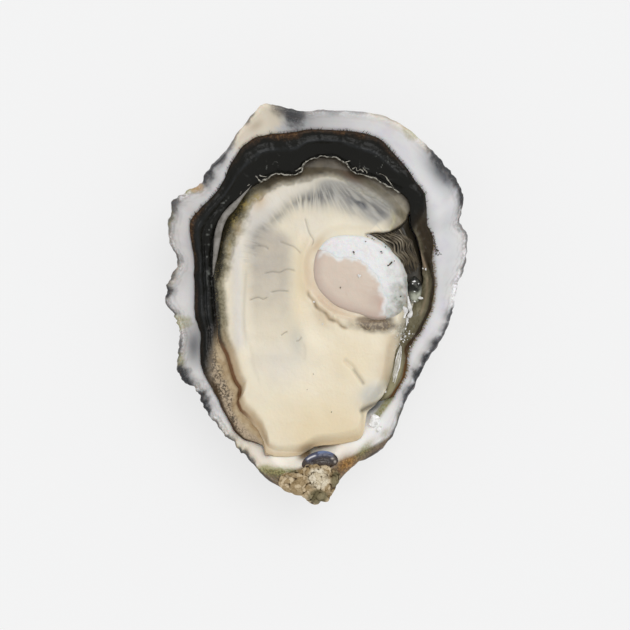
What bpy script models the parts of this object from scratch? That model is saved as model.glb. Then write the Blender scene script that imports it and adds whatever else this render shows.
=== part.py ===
"""Oyster on the half shell: the cupped lower shell with the whole animal in it.

+Z is up and the beak, where the hinge is, points to -Y. The origin is on the table, below the
middle of the shell's box. Outlines are given by bearing: degrees round the origin from +X,
counter-clockwise seen from above. Lengths in the constants are millimetres.
"""
import math

import bmesh
import bpy
from mathutils import Vector

MM = 0.001                # metres in a millimetre
GAP = 0.3                 # between pieces that touch

# ---- the shell's rim: eight reaches, one every 45 degrees, and the lobes that break its line
RIM_REACH = (31.3, 42.0, 43.2, 37.3, 32.2, 34.6, 43.0, 29.6)
RIM_LOBES = (             # bearing, swell, half width in degrees
    (7, -0.6, 5), (31, -1.6, 4), (37, 1.6, 4), (68, 1.0, 9), (105, 4.3, 6), (114, 1.6, 5),
    (146, 3.4, 7), (155, 1.5, 4), (165, -1.5, 4), (177, 1.6, 5), (191, -0.8, 6), (206, 1.8, 6),
    (245, -1.3, 8),
    (270, 1.9, 4), (283, -2.6, 7), (301, 0.8, 6), (333, -0.6, 8))
RIM_HEIGHT = (19.6, 20.6, 21.4, 20.8, 20.2, 19.4, 18.2, 18.8)
RIM_WAVES = (             # bearing, rise, half width: the flutes lift and drop the rim
    (20, 0.9, 9), (37, -0.9, 7), (56, 0.8, 9), (82, -0.9, 10), (104, 1.2, 7), (125, -1.0, 9),
    (146, 0.9, 8), (163, -1.1, 7), (177, 0.8, 6), (191, -0.9, 7), (206, 1.0, 7), (225, -0.7, 9),
    (250, 0.6, 8), (300, 0.8, 8), (322, -0.7, 9), (350, 0.7, 8))
LIP = 1.1                 # thickness of the shell's edge
FLOOR = 3.4               # shell thickness at the bottom of the cup
CUP_POWER = 2.6           # how late the inside curls up towards the rim
REST_SPAN = 0.3           # flat resting spot, as a share of the reach
BOWL_POWER = 1.8          # how fast the outside climbs from the resting spot
HINGE_BEARING = 268.0
HINGE_PLATE_Z = 16.4      # the thick plate at the beak that carries the hinge
HINGE_PLATE_SPREAD = 17.0
HINGE_PLATE_FROM = 0.74   # where the plate starts and is full, as shares of the reach
HINGE_PLATE_FULL = 0.88
SHELVES = 4               # growth shelves that step down the outside like shingles
SHELF_ROWS = 3
SHELF_DROP = 0.55         # how far each shelf's edge stands out
SHELF_FILL = 0.93         # share of a shelf before its edge tucks back in
FLAT_ROWS = 2             # rows that lie on the resting spot
LOBE_POWER = 3            # how late, going outwards, the rim's lobes begin to show
WAVE_POWER = 4            # the same for its waves
SHELL_AROUND = 72
INSIDE_ROWS = 14
INSIDE_SPREAD = 0.8       # below 1 the inside rows crowd towards the rim

# ---- the mantle edge, a dark band that follows the rim from the left of the hinge to its right
MANTLE_REACH = (26.8, 34.3, 38.2, 33.2, 27.7, 31.9, 36.0, 26.9)
MANTLE_LOBES = ((20, -1.7, 9), (36, -1.8, 5), (68, 1.8, 10), (112, 3.2, 10), (147, 2.0, 9),
                (197, -1.2, 8), (221, -0.9, 7), (242, 1.3, 9), (335, -2.2, 10))
MANTLE_FROM = 252.0       # bearing of the left end; the band runs clockwise from here
MANTLE_SWEEP = 312.0
MANTLE_TOP = 1.5          # how far the band's crest stands over its outer edge
MANTLE_EDGE = 0.8         # how thick its outer edge is
MANTLE_AROUND = 10
MANTLE_ROWS = 62
END_TAPER = 0.04          # share of the band's length that tapers at each end
MANTLE_BULGE = 0.7        # below 1 the crest is broad, above 1 it is narrow
MANTLE_ROUND = 0.5        # 1 gives the band an oval section, less a squarer one

# ---- the body that fills the cup inside the mantle edge
BODY_REACH = (21.6, 29.2, 31.3, 28.4, 22.6, 26.0, 32.2, 24.2)
BODY_LOBES = ((18, 3.0, 11), (252, 2.6, 8), (290, -1.6, 10), (333, -1.2, 9))
BODY_TOP = 16.3
BODY_SHOULDER = 1.7       # drop from the top to the side
BODY_SHOULDER_POWER = 8   # how late the top rounds over into the side
BODY_AROUND = 72
BODY_ROWS = 14
BODY_UNDER_SPREAD = 0.8   # below 1 the rows crowd towards the side
BODY_TOP_SPREAD = 0.7
FURROW_DEPTH = 0.9        # long sunken panel at the left of the body
FURROW = (-8.5, 0.0, 5.5, 17.0)     # its middle x, y and half widths
RIDGE_RISE = 0.5          # swollen ridge between the panel and the muscle
RIDGE = (-2.5, -2.0, 2.4, 15.0)

# ---- the adductor muscle: a column through the body down to the shell, in two parts
MUSCLE_AT = (9.5, 6.0)
MUSCLE_REACH = (10.8, 9.5, 9.8, 11.4, 10.5, 9.5, 9.6, 12.3)
MUSCLE_TOP = 16.6
MUSCLE_DOME = 0.7         # rise of the cut face's middle
MUSCLE_AROUND = 36
MUSCLE_ROWS = 12
MUSCLE_SPREAD = 0.6       # below 1 the rows crowd towards the side
QUICK_AT = (5.0, -0.4)    # middle of the arc that parts the pink muscle from the white one
QUICK_REACH = 11.3
ARC_SIDES = 64

# ---- the gills, a pleated wedge between the muscle and the mantle edge
GILL_BOX = (11.0, 28.0, -2.8, 16.8)     # low x, high x, low y, high y
GILL_TOP = 14.6
GILL_PLEAT_DEPTH = 0.35
GILL_PLEAT_PITCH = 3.2
GILL_LEAN = 32.0          # the pleats run down to the right by this many degrees
GILL_CELL = 0.9           # spacing of the surface points
GILL_THINNEST = 1.0

# ---- the dark hinge ligament on the plate
LIGAMENT_AT = (0.8, -36.0)
LIGAMENT_HALF = (4.2, 2.2)
LIGAMENT_THICK = 1.6      # in its middle
LIGAMENT_EDGE = 0.5       # at its edge
LIGAMENT_AROUND = 20
LIGAMENT_ROWS = 8

# ---- the cutters stand from under the shell to over its rim
CUT_FROM = -5.0
CUT_TO = 30.0
CUT_MIDDLE = (CUT_FROM + CUT_TO) / 2.0

COLOURS = {               # base colour, roughness
    "shell": ((0.70, 0.69, 0.66), 0.45),
    "mantle": ((0.03, 0.028, 0.025), 0.25),
    "body": ((0.78, 0.70, 0.53), 0.30),
    "gills": ((0.16, 0.14, 0.11), 0.25),
    "quick muscle": ((0.62, 0.50, 0.43), 0.30),
    "catch muscle": ((0.76, 0.76, 0.77), 0.30),
    "ligament": ((0.08, 0.06, 0.07), 0.20),
}


# ---------------------------------------------------------------- outlines and heights
def swell(bearing, bumps):
    """Sum of the smooth bumps (bearing, height, half width) at a bearing."""
    total = 0.0
    for middle, height, half_width in bumps:
        off = (bearing - middle + 180.0) % 360.0 - 180.0
        total += height * math.exp(-(off / half_width) ** 2)
    return total


def round_value(bearing, values):
    """Smooth closed curve through values that are spaced evenly round the circle."""
    step = 360.0 / len(values)
    place = (bearing % 360.0) / step
    i = int(place)
    t = place - i
    before, start, end, after = (values[(i + k) % len(values)] for k in (-1, 0, 1, 2))
    return 0.5 * (2.0 * start + (end - before) * t
                  + (2.0 * before - 5.0 * start + 4.0 * end - after) * t ** 2
                  + (3.0 * start - before - 3.0 * end + after) * t ** 3)


def smooth(value, low, high):
    """Smooth step from 0 at low to 1 at high."""
    t = min(max((value - low) / (high - low), 0.0), 1.0)
    return t * t * (3.0 - 2.0 * t)


def rim_reach(bearing):
    return round_value(bearing, RIM_REACH) + swell(bearing, RIM_LOBES)


def mantle_reach(bearing):
    return round_value(bearing, MANTLE_REACH) + swell(bearing, MANTLE_LOBES)


def body_reach(bearing):
    return round_value(bearing, BODY_REACH) + swell(bearing, BODY_LOBES)


def shell_share(bearing, distance, edge=0.0):
    """Share of the way to the rim; the rim's lobes fade out towards the middle of the cup."""
    plain = round_value(bearing, RIM_REACH)
    lobed = min(distance / plain, 1.0) ** LOBE_POWER
    return distance / (plain + swell(bearing, RIM_LOBES) * lobed - edge)


def cup_height(bearing, share):
    """Height of a surface that is low in the middle and reaches the wavy rim at share 1."""
    calm = round_value(bearing, RIM_HEIGHT)
    return calm + swell(bearing, RIM_WAVES) * share ** WAVE_POWER


def outer_z(bearing, distance):
    """Height of the shell's underside."""
    share = shell_share(bearing, distance)
    climb = max(share - REST_SPAN, 0.0) / (1.0 - REST_SPAN)
    return cup_height(bearing, share) * climb ** BOWL_POWER


def inner_z(bearing, distance):
    """Height of the shell's inside, with the thick plate at the hinge."""
    share = min(shell_share(bearing, distance, LIP), 1.0)
    cup = FLOOR + (cup_height(bearing, share) - FLOOR) * share ** CUP_POWER
    plate = (smooth(share, HINGE_PLATE_FROM, HINGE_PLATE_FULL)
             * swell(bearing, ((HINGE_BEARING, 1.0, HINGE_PLATE_SPREAD),)))
    return cup + max(HINGE_PLATE_Z - cup, 0.0) * plate


def polar(x, y):
    return math.degrees(math.atan2(y, x)) % 360.0, math.hypot(x, y)


def inner_z_at(x, y):
    return inner_z(*polar(x, y))


def spot(x, y, middle_x, middle_y, half_x, half_y):
    """Smooth oval hill, 1 at its middle."""
    return math.exp(-((x - middle_x) / half_x) ** 2 - ((y - middle_y) / half_y) ** 4)


def body_top(x, y):
    return BODY_TOP - FURROW_DEPTH * spot(x, y, *FURROW) + RIDGE_RISE * spot(x, y, *RIDGE)


# ---------------------------------------------------------------- making pieces
def empty_scene():
    for old in list(bpy.data.objects):
        bpy.data.objects.remove(old, do_unlink=True)


def new_collection(name):
    collection = bpy.data.collections.new(name)
    bpy.context.scene.collection.children.link(collection)
    return collection


def new_material(name):
    colour, roughness = COLOURS[name]
    material = bpy.data.materials.new(name)
    material.use_nodes = True
    shader = material.node_tree.nodes["Principled BSDF"]
    shader.inputs["Base Color"].default_value = (*colour, 1.0)
    shader.inputs["Roughness"].default_value = roughness
    shader.inputs["Metallic"].default_value = 0.0
    return material


def finish(name, cage, collection, material=None):
    """Turn a bmesh in millimetres into an object in metres."""
    bmesh.ops.scale(cage, vec=(MM, MM, MM), verts=cage.verts)
    bmesh.ops.recalc_face_normals(cage, faces=cage.faces)
    mesh = bpy.data.meshes.new(name)
    cage.to_mesh(mesh)
    cage.free()
    piece = bpy.data.objects.new(name, mesh)
    collection.objects.link(piece)
    if material:
        mesh.materials.append(new_material(material))
        mesh.shade_smooth()
    return piece


def shaped_sphere(around, rows, place):
    """A closed ball whose points are moved by place(turn, rise).

    turn is the bearing round the ball in degrees, and rise runs from 0 at one pole to 1 at the other.
    """
    cage = bmesh.new()
    bmesh.ops.create_uvsphere(cage, u_segments=around, v_segments=rows, radius=1.0)
    for vert in cage.verts:
        turn = polar(vert.co.x, vert.co.y)[0]
        rise = 0.5 + math.asin(min(max(vert.co.z, -1.0), 1.0)) / math.pi
        vert.co = Vector(place(turn, rise))
    return cage


def at(bearing, distance, height):
    angle = math.radians(bearing)
    return distance * math.cos(angle), distance * math.sin(angle), height


def cut(piece, cutter, operation="DIFFERENCE"):
    boolean = piece.modifiers.new(cutter.name, "BOOLEAN")
    boolean.operation = operation
    boolean.solver = "EXACT"
    boolean.object = cutter


def hide(cutter):
    cutter.hide_render = True
    cutter.display_type = "WIRE"
    return cutter


# ---------------------------------------------------------------- the pieces
def make_shell(collection):
    """Rows run from the resting spot over the growth shelves to the rim, then down the inside."""
    outside_rows = FLAT_ROWS + SHELVES * SHELF_ROWS
    rows = outside_rows + INSIDE_ROWS

    def place(turn, rise):
        row = round(rise * rows)
        rim = rim_reach(turn)
        if row <= FLAT_ROWS:
            return at(turn, rim * REST_SPAN * row / FLAT_ROWS, 0.0)
        if row <= outside_rows:
            shelf, step = divmod(row - FLAT_ROWS, SHELF_ROWS)
            along = SHELF_FILL * step / (SHELF_ROWS - 1)
            share = REST_SPAN + (1.0 - REST_SPAN) * (shelf + along) / SHELVES
            height = outer_z(turn, rim * share) - SHELF_DROP * along
            return at(turn, rim * share, max(height, 0.0))
        share = ((rows - row) / (INSIDE_ROWS - 1)) ** INSIDE_SPREAD
        distance = (rim - LIP) * share
        return at(turn, distance, inner_z(turn, distance))

    return finish("shell", shaped_sphere(SHELL_AROUND, rows, place), collection, "shell")


def make_body(collection):
    def place(turn, rise):
        edge = body_reach(turn)
        if rise < 0.5:
            share = math.sin(math.pi * rise) ** BODY_UNDER_SPREAD
            distance = edge * share
            return at(turn, distance, inner_z(turn, distance) + GAP)
        share = math.sin(math.pi * rise) ** BODY_TOP_SPREAD
        x, y, _ = at(turn, edge * share, 0.0)
        return x, y, body_top(x, y) - BODY_SHOULDER * share ** BODY_SHOULDER_POWER

    return finish("body", shaped_sphere(BODY_AROUND, BODY_ROWS, place), collection, "body")


def make_mantle_edge(collection):
    """A band with its two poles at its ends, so that it tapers into the hinge."""
    def place(turn, rise):
        taper = smooth(min(rise, 1.0 - rise), 0.0, END_TAPER)
        bearing = MANTLE_FROM - MANTLE_SWEEP * rise
        inner = body_reach(bearing) + GAP
        outer = max(mantle_reach(bearing), inner + GAP)
        across = 0.5 - 0.5 * math.cos(math.radians(turn)) * taper
        distance = inner + (outer - inner) * across
        floor = inner_z(bearing, distance) + GAP
        top = inner_z(bearing, outer) + GAP + MANTLE_EDGE
        inside_top = BODY_TOP - BODY_SHOULDER
        crest = (inside_top * (1.0 - across) + top * across
                 + MANTLE_TOP * math.sin(math.pi * across) ** MANTLE_BULGE)
        upward = math.sin(math.radians(turn))
        over = math.copysign(abs(upward) ** MANTLE_ROUND, upward)
        middle = (floor + max(crest, floor + MANTLE_EDGE)) / 2.0
        half = (max(crest, floor + MANTLE_EDGE) - floor) / 2.0
        return at(bearing, distance, middle + half * over * taper)

    cage = shaped_sphere(MANTLE_AROUND, MANTLE_ROWS, place)
    return finish("mantle_edge", cage, collection, "mantle")


def muscle_column(name, collection):
    """The whole muscle, standing on the shell's inside with a domed top."""
    def place(turn, rise):
        share = math.sin(math.pi * rise) ** MUSCLE_SPREAD
        x, y, _ = at(turn, round_value(turn, MUSCLE_REACH) * share, 0.0)
        x += MUSCLE_AT[0]
        y += MUSCLE_AT[1]
        if rise < 0.5:
            return x, y, inner_z_at(x, y) + GAP
        return x, y, MUSCLE_TOP + MUSCLE_DOME * (1.0 - share ** 2)

    cage = shaped_sphere(MUSCLE_AROUND, MUSCLE_ROWS, place)
    return finish(name, cage, collection, name.replace("_", " "))


def cutting_column(name, middle, sides, reach, collection):
    """A straight-sided cutter whose outline is reach(bearing) round its middle."""
    cage = bmesh.new()
    bmesh.ops.create_cone(cage, cap_ends=True, segments=sides, radius1=1.0, radius2=1.0,
                          depth=CUT_TO - CUT_FROM)
    for vert in cage.verts:
        turn = polar(vert.co.x, vert.co.y)[0]
        x, y, z = at(turn, reach(turn), vert.co.z + CUT_MIDDLE)
        vert.co = Vector((x + middle[0], y + middle[1], z))
    return hide(finish(name, cage, collection))


def make_muscles(collection, cutters):
    """Two parts of one column, parted by an arc with a gap across it."""
    for name, reach, operation in (("quick_muscle", QUICK_REACH - GAP / 2.0, "INTERSECT"),
                                   ("catch_muscle", QUICK_REACH + GAP / 2.0, "DIFFERENCE")):
        part = muscle_column(name, collection)
        arc = cutting_column(name + "_arc", QUICK_AT, ARC_SIDES, lambda turn: reach, cutters)
        cut(part, arc, operation)


def gill_block(name, grow, collection, low, high, material=None):
    """A block over the gill pocket, its faces shaped by low(x, y) and high(x, y)."""
    x0, x1, y0, y1 = GILL_BOX
    x0, x1, y0, y1 = x0 - grow, x1 + grow, y0 - grow, y1 + grow
    cage = bmesh.new()
    bmesh.ops.create_grid(cage, x_segments=round((x1 - x0) / GILL_CELL),
                          y_segments=round((y1 - y0) / GILL_CELL), size=0.5)
    for vert in cage.verts:
        vert.co = Vector(((x0 + x1) / 2.0 + vert.co.x * (x1 - x0),
                          (y0 + y1) / 2.0 + vert.co.y * (y1 - y0), 0.0))
    lower = list(cage.verts)
    raised = bmesh.ops.extrude_face_region(cage, geom=list(cage.faces), use_keep_orig=True)
    upper = [item for item in raised["geom"] if isinstance(item, bmesh.types.BMVert)]
    for vert in lower:
        vert.co.z = low(vert.co.x, vert.co.y)
    for vert in upper:
        vert.co.z = high(vert.co.x, vert.co.y)
    return finish(name, cage, collection, material)


def gill_top(x, y):
    lean = math.radians(GILL_LEAN)
    across = x * math.sin(lean) + y * math.cos(lean)
    return GILL_TOP + GILL_PLEAT_DEPTH * math.sin(2.0 * math.pi * across / GILL_PLEAT_PITCH)


def gill_floor(x, y):
    return min(inner_z_at(x, y) + GAP, GILL_TOP - GILL_THINNEST)


def make_gills(collection, body, cutters):
    """The pleated wedge fills a pocket in the body, inside the mantle edge and beside the muscle."""
    gills = gill_block("gills", 0.0, collection, gill_floor, gill_top, "gills")
    pocket = gill_block("gill_pocket", GAP, cutters, lambda x, y: CUT_FROM, lambda x, y: CUT_TO)
    room = cutting_column("muscle_room", MUSCLE_AT, MUSCLE_AROUND,
                          lambda turn: round_value(turn, MUSCLE_REACH) + GAP, cutters)
    inside = cutting_column("body_room", (0.0, 0.0), BODY_AROUND, body_reach, cutters)
    cut(gills, inside, "INTERSECT")
    cut(gills, room)
    cut(body, room)
    cut(body, hide(pocket))


def make_ligament(collection):
    def place(turn, rise):
        share = math.sin(math.pi * rise)
        x, y, _ = at(turn, share, 0.0)
        x = LIGAMENT_AT[0] + x * LIGAMENT_HALF[0]
        y = LIGAMENT_AT[1] + y * LIGAMENT_HALF[1]
        floor = inner_z_at(x, y) + GAP
        if rise < 0.5:
            return x, y, floor
        return x, y, floor + LIGAMENT_EDGE + (LIGAMENT_THICK - LIGAMENT_EDGE) * (1.0 - share ** 2)

    cage = shaped_sphere(LIGAMENT_AROUND, LIGAMENT_ROWS, place)
    return finish("hinge_ligament", cage, collection, "ligament")


def main():
    empty_scene()
    oyster = new_collection("oyster")
    cutters = new_collection("cutters")
    make_shell(oyster)
    make_mantle_edge(oyster)
    body = make_body(oyster)
    make_muscles(oyster, cutters)
    make_gills(oyster, body, cutters)
    make_ligament(oyster)


main()
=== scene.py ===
"""A fresh oyster on the half shell, dressed for the camera: shell, mantle, meat, muscle, gills,
hinge and liquor. Shapes are given in millimetres seen from above, with the beak towards -Y."""
import itertools
import math

import bpy
import numpy as np
from mathutils import Matrix, Vector
from mathutils.bvhtree import BVHTree


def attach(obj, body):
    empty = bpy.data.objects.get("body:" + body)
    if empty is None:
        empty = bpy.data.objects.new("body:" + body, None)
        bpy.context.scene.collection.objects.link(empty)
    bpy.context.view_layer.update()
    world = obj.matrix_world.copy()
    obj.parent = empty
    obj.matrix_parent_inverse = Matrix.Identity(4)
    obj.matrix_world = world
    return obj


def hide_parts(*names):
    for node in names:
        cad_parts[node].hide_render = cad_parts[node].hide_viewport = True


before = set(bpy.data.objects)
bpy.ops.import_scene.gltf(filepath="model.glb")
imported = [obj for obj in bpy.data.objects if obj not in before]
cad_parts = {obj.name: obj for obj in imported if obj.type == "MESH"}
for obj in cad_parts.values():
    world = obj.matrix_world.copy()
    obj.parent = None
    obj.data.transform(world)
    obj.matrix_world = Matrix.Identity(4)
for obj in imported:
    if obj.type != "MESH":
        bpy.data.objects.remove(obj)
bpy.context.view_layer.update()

MM = 0.001
TURN = 360.0
ALL_ROUND = np.arange(0.0, TURN, 2.5)
PRIMES = np.array([73856093, 19349663, 83492791])
CURVE_STEPS = 6           # straight pieces between two points of a line
CALM_PASSES, CALM_REACH = 3, 4


# ---------------------------------------------------------------- numbers over a surface
def smooth(value, low, high):
    """0 below low, 1 above high, and an easy S between; low may be the larger."""
    part = np.clip((np.asarray(value, float) - low) / (high - low), 0, 1)
    return part * part * (3 - 2 * part)


def hump(value, middle, half):
    return np.exp(-((np.asarray(value, float) - middle) / half) ** 2)


def swing(bearing, middle):
    """Signed degrees from a middle bearing, -180 to 180."""
    return (np.asarray(bearing, float) - middle + 180) % TURN - 180


def lobe(bearing, middle, half):
    return hump(swing(bearing, middle), 0, half)


def humps(value, *parts):
    """Humps added up: strength, middle and half width of each."""
    return sum(strength * hump(value, middle, half) for strength, middle, half in parts)


def lobes(bearing, *parts):
    """Lobes round the shell added up: strength, middle bearing and half width of each."""
    return sum(strength * lobe(bearing, middle, half) for strength, middle, half in parts)


def span(bearing, first, last, soft):
    """1 between two bearings, counter-clockwise from first to last, with soft ends."""
    middle, half = (first + last) / 2, (last - first) / 2
    return smooth(np.abs(swing(bearing, middle)), half + soft / 2, half - soft / 2)


def lumps(place, size, seed):
    """Smooth random relief from -1 to 1 over points in mm; size is how wide one lump is."""
    spread = np.stack(np.broadcast_arrays(*place), -1) / size + 31.7 * (seed + 1)
    cell = np.floor(spread).astype(np.int64)
    part = spread - cell
    part = part * part * (3 - 2 * part)
    total = np.zeros(spread.shape[:-1])
    for corner in itertools.product((0, 1), repeat=spread.shape[-1]):
        knot = (cell + corner) @ PRIMES[:spread.shape[-1]]
        knot = ((knot ^ (knot >> 13)) * 1274126177) & 0x7FFFFFFF
        knot = (knot ^ (knot >> 16)) & 0xFFFF
        weight = np.prod(np.where(np.array(corner) == 1, part, 1 - part), axis=-1)
        total += weight * (knot / 32767.5 - 1)
    return total


def rough(place, size, steps, seed):
    """Lumps with finer and fainter lumps on them."""
    return sum(lumps(place, size / 2 ** k, seed + k) / 1.8 ** k for k in range(steps))


def bend(a, b, c, d, t):
    """The smooth curve from b to c at a share t of the way, with a and d as their neighbours."""
    return b + 0.5 * t * (c - a + t * (2 * a - 5 * b + 4 * c - d + t * (3 * (b - c) + d - a)))


def read_round(values, bearing):
    """A closed smooth curve through evenly spaced values, read at bearings in degrees."""
    values = np.asarray(values, float)
    place = np.asarray(bearing, float) % TURN / TURN * len(values)
    start = np.floor(place).astype(int)
    return bend(*(values[(start + k) % len(values)] for k in (-1, 0, 1, 2)), place - start)


def polar(x, y, middle=(0.0, 0.0)):
    dx, dy = x - middle[0], y - middle[1]
    return np.degrees(np.arctan2(dy, dx)) % TURN, np.hypot(dx, dy)


def on_ring(bearing, reach=38.0, middle=(0, 0)):
    """Places at bearings and reaches; by default a ring, so that a pattern on it closes."""
    angle = np.radians(bearing)
    return middle[0] + reach * np.cos(angle), middle[1] + reach * np.sin(angle)


def spots(x, y, *ovals):
    """Soft ovals added up: strength, middle x and y, two half widths and a turn in degrees.
    Each has its full strength in its middle and about a third at its half widths."""
    total = 0
    for strength, middle_x, middle_y, half_across, half_along, *turn in ovals:
        angle = math.radians(sum(turn))
        dx, dy = x - middle_x, y - middle_y
        across = (dx * math.cos(angle) + dy * math.sin(angle)) / half_across
        along = (dy * math.cos(angle) - dx * math.sin(angle)) / half_along
        total = total + strength * np.exp(-across ** 2 - along ** 2)
    return total


def box(x, y, wide, tall, soft):
    """1 within an upright box with soft edges."""
    return (smooth(x, wide[0] - soft, wide[0] + soft) * smooth(x, wide[1] + soft, wide[1] - soft)
            * smooth(y, tall[0] - soft, tall[0] + soft) * smooth(y, tall[1] + soft, tall[1] - soft))


class Stroke:
    """A smooth line through a few chosen points in mm, seen from above."""

    def __init__(self, *points):
        knots = np.array(points, float)
        knots = np.vstack([2 * knots[0] - knots[1], knots, 2 * knots[-1] - knots[-2]])
        path = [bend(*knots[k - 1:k + 3], t) for k in range(1, len(knots) - 2)
                for t in np.arange(CURVE_STEPS) / CURVE_STEPS]
        self.path = np.array([*path, knots[-2]])
        self.run = np.concatenate([[0], np.cumsum(np.hypot(*np.diff(self.path, axis=0).T))])

    def near(self, x, y):
        """Distance from the line, place along it from 0 to 1, and side (left is above 0)."""
        best, along, side = np.full(x.shape, 1e9), np.zeros(x.shape), np.ones(x.shape)
        for k in range(len(self.path) - 1):
            (ax, ay), (dx, dy) = self.path[k], self.path[k + 1] - self.path[k]
            part = np.clip(((x - ax) * dx + (y - ay) * dy) / (dx * dx + dy * dy), 0, 1)
            px, py = x - ax - part * dx, y - ay - part * dy
            gap = np.hypot(px, py)
            closer = gap < best
            best = np.where(closer, gap, best)
            run = self.run[k] + part * (self.run[k + 1] - self.run[k])
            along = np.where(closer, run / self.run[-1], along)
            side = np.where(closer, np.sign(dx * py - dy * px), side)
        return best, along, side

    def band(self, x, y, half, fade=0.12):
        """1 on the line and about a third at half its width, thinning out at both ends."""
        x, y, half = np.broadcast_arrays(x, y, half)
        low, high = self.path.min(0) - 2.6 * half.max(), self.path.max(0) + 2.6 * half.max()
        close = (x > low[0]) & (x < high[0]) & (y > low[1]) & (y < high[1])
        gap, along, _ = self.near(x[close], y[close])
        ends = smooth(along, -0.001, fade) * smooth(along, 1.001, 1 - fade)
        strength = np.zeros(x.shape)
        strength[close] = np.exp(-(gap / half[close]) ** 2) * ends
        return strength

    def points(self, count):
        """Evenly spaced points along the line."""
        run = np.linspace(0, self.run[-1], count)
        return np.stack([np.interp(run, self.run, self.path[:, k]) for k in (0, 1)], -1)


def bands(x, y, *lines):
    """Bands along lines added up: strength, half width, fade at the ends, then the points."""
    return sum(strength * Stroke(*points).band(x, y, half, fade)
               for strength, half, fade, *points in lines)


# ---------------------------------------------------------------- where the CAD pieces are
def solid_tree(*nodes):
    corners, faces = [], []
    for name in nodes:
        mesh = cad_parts[name].data
        faces += [[len(corners) + k for k in p.vertices] for p in mesh.polygons]
        corners += [v.co.copy() for v in mesh.vertices]
    return BVHTree.FromPolygons(corners, faces)


def outline(near, far, *nodes):
    """Reach and height, in mm, of solids' outline seen from above, at each bearing."""
    tree = solid_tree(*nodes)
    found = np.full((2, len(ALL_ROUND)), np.nan)
    for k, bearing in enumerate(ALL_ROUND):
        towards = (math.cos(math.radians(bearing)), math.sin(math.radians(bearing)))
        for reach in np.arange(far, near, -0.1):
            above = Vector((towards[0] * reach * MM, towards[1] * reach * MM, 0.1))
            hit = tree.ray_cast(above, Vector((0, 0, -1)))[0]
            if hit is not None:
                found[:, k] = reach, hit.z / MM
                break
    known = ~np.isnan(found[0])
    return [np.interp(ALL_ROUND, ALL_ROUND[known], row[known], period=TURN) for row in found]


def calmed(values):
    """A ring with its lobes smoothed away."""
    around = range(-CALM_REACH, CALM_REACH + 1)
    for _ in range(CALM_PASSES):
        values = sum(np.roll(values, k) for k in around) / len(around)
    return values


RIM, RIM_Z = outline(25.0, 48.0, "shell")
RIM_PLAIN = calmed(RIM)
BAND_OUT, _ = outline(15.0, 45.0, "mantle_edge")
FLESH, _ = outline(15.0, 45.0, "body", "gills", "catch_muscle", "quick_muscle")

LIP = 1.1                 # thickness of the shell's edge
FLOOR = 3.4               # shell thickness at the bottom of the cup
CUP_POWER = 2.6           # how late the inside curls up towards the rim
REST_SPAN = 0.3           # flat resting spot, as a share of the reach
BOWL_POWER = 1.8          # how fast the outside climbs from the resting spot
HINGE_BEARING = 268.0
HINGE_PLATE_Z = 16.4
MEAT_TOP = 16.3
MUSCLE_AT = (9.5, 6.0)
MUSCLE_REACH = (10.8, 9.5, 9.8, 11.4, 10.5, 8.9, 8.9, 12.3)
QUICK_AT = (5.0, -0.4)
QUICK_REACH = 11.3
QUICK_MIDDLE = (5.6, 2.6)


def rim_reach(bearing):
    return read_round(RIM, bearing)


def wall_height(x, y):
    """Height of the cup's inner wall above a place seen from above."""
    bearing, distance = polar(x, y)
    plain = read_round(RIM_PLAIN, bearing)
    lift = (rim_reach(bearing) - plain) * np.minimum(distance / plain, 1) ** 3
    return inner_height(bearing, np.minimum(distance / (plain + lift - LIP), 1))


def wall_at(x, y):
    return wall_height(np.array([x]), np.array([y]))[0]


def ragged(bearing):
    """How broken the rim is at a bearing, from 0 to 1."""
    parts = lobes(bearing, (1, 40, 12), (0.5, 98, 12), (0.15, 320, 34), (0.6, 14, 12))
    return 0.2 + 0.8 * np.clip(span(bearing, 128, 250, 14) + parts, 0, 1)


def inner_height(bearing, share):
    cup = FLOOR + (read_round(RIM_Z, bearing) - FLOOR) * share ** CUP_POWER
    plate = np.maximum(HINGE_PLATE_Z - cup, 0) * smooth(share, 0.74, 0.88)
    ring = on_ring(bearing)
    flutes = 0.35 * lumps((*ring, share * 3), 5.0, 6) * smooth(share, 0.8, 1.0)
    curl = ragged(bearing) * (0.5 * lumps(ring, 4.5, 4) + 0.25 * lumps(ring, 1.5, 5))
    return cup + plate * lobe(bearing, HINGE_BEARING, 17.0) + flutes + curl * smooth(share, 0.9, 1.0)


# ---------------------------------------------------------------- making pieces
def clear_selection():
    bpy.ops.object.select_all(action="DESELECT")


def named(name):
    piece = bpy.context.active_object
    piece.name = name
    piece.data.name = name
    return piece


def places(piece):
    found = np.zeros(len(piece.data.vertices) * 3)
    piece.data.vertices.foreach_get("co", found)
    return found.reshape(-1, 3)


def shape(piece, x, y, z):
    """Moves every vertex of a piece to its place in mm."""
    moved = np.stack(np.broadcast_arrays(x, y, z), -1) * MM
    piece.data.vertices.foreach_set("co", moved.ravel())
    piece.data.update()


def edit(piece):
    """Starts to edit a piece, alone and with all of it selected."""
    clear_selection()
    piece.select_set(True)
    bpy.context.view_layer.objects.active = piece
    bpy.ops.object.mode_set(mode="EDIT")
    bpy.ops.mesh.select_all(action="SELECT")


def end_edit():
    """Points the faces outwards and shades them smooth."""
    bpy.ops.mesh.normals_make_consistent(inside=False)
    bpy.ops.object.mode_set(mode="OBJECT")
    bpy.ops.object.shade_smooth()


def heal(piece):
    """Closes seams and poles."""
    edit(piece)
    bpy.ops.mesh.remove_doubles(threshold=0.01 * MM)
    end_edit()


def close_below(piece, floor):
    """Gives an open sheet a wall down to floor (mm) and a bottom."""
    middle = places(piece).mean(0)
    edit(piece)
    bpy.ops.mesh.region_to_loop()
    bpy.ops.mesh.extrude_edges_move()
    bpy.ops.transform.resize(value=(0.97, 0.97, 0), center_override=(*middle[:2], floor * MM))
    bpy.ops.mesh.edge_face_add()
    bpy.ops.mesh.select_all(action="SELECT")
    end_edit()


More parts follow.
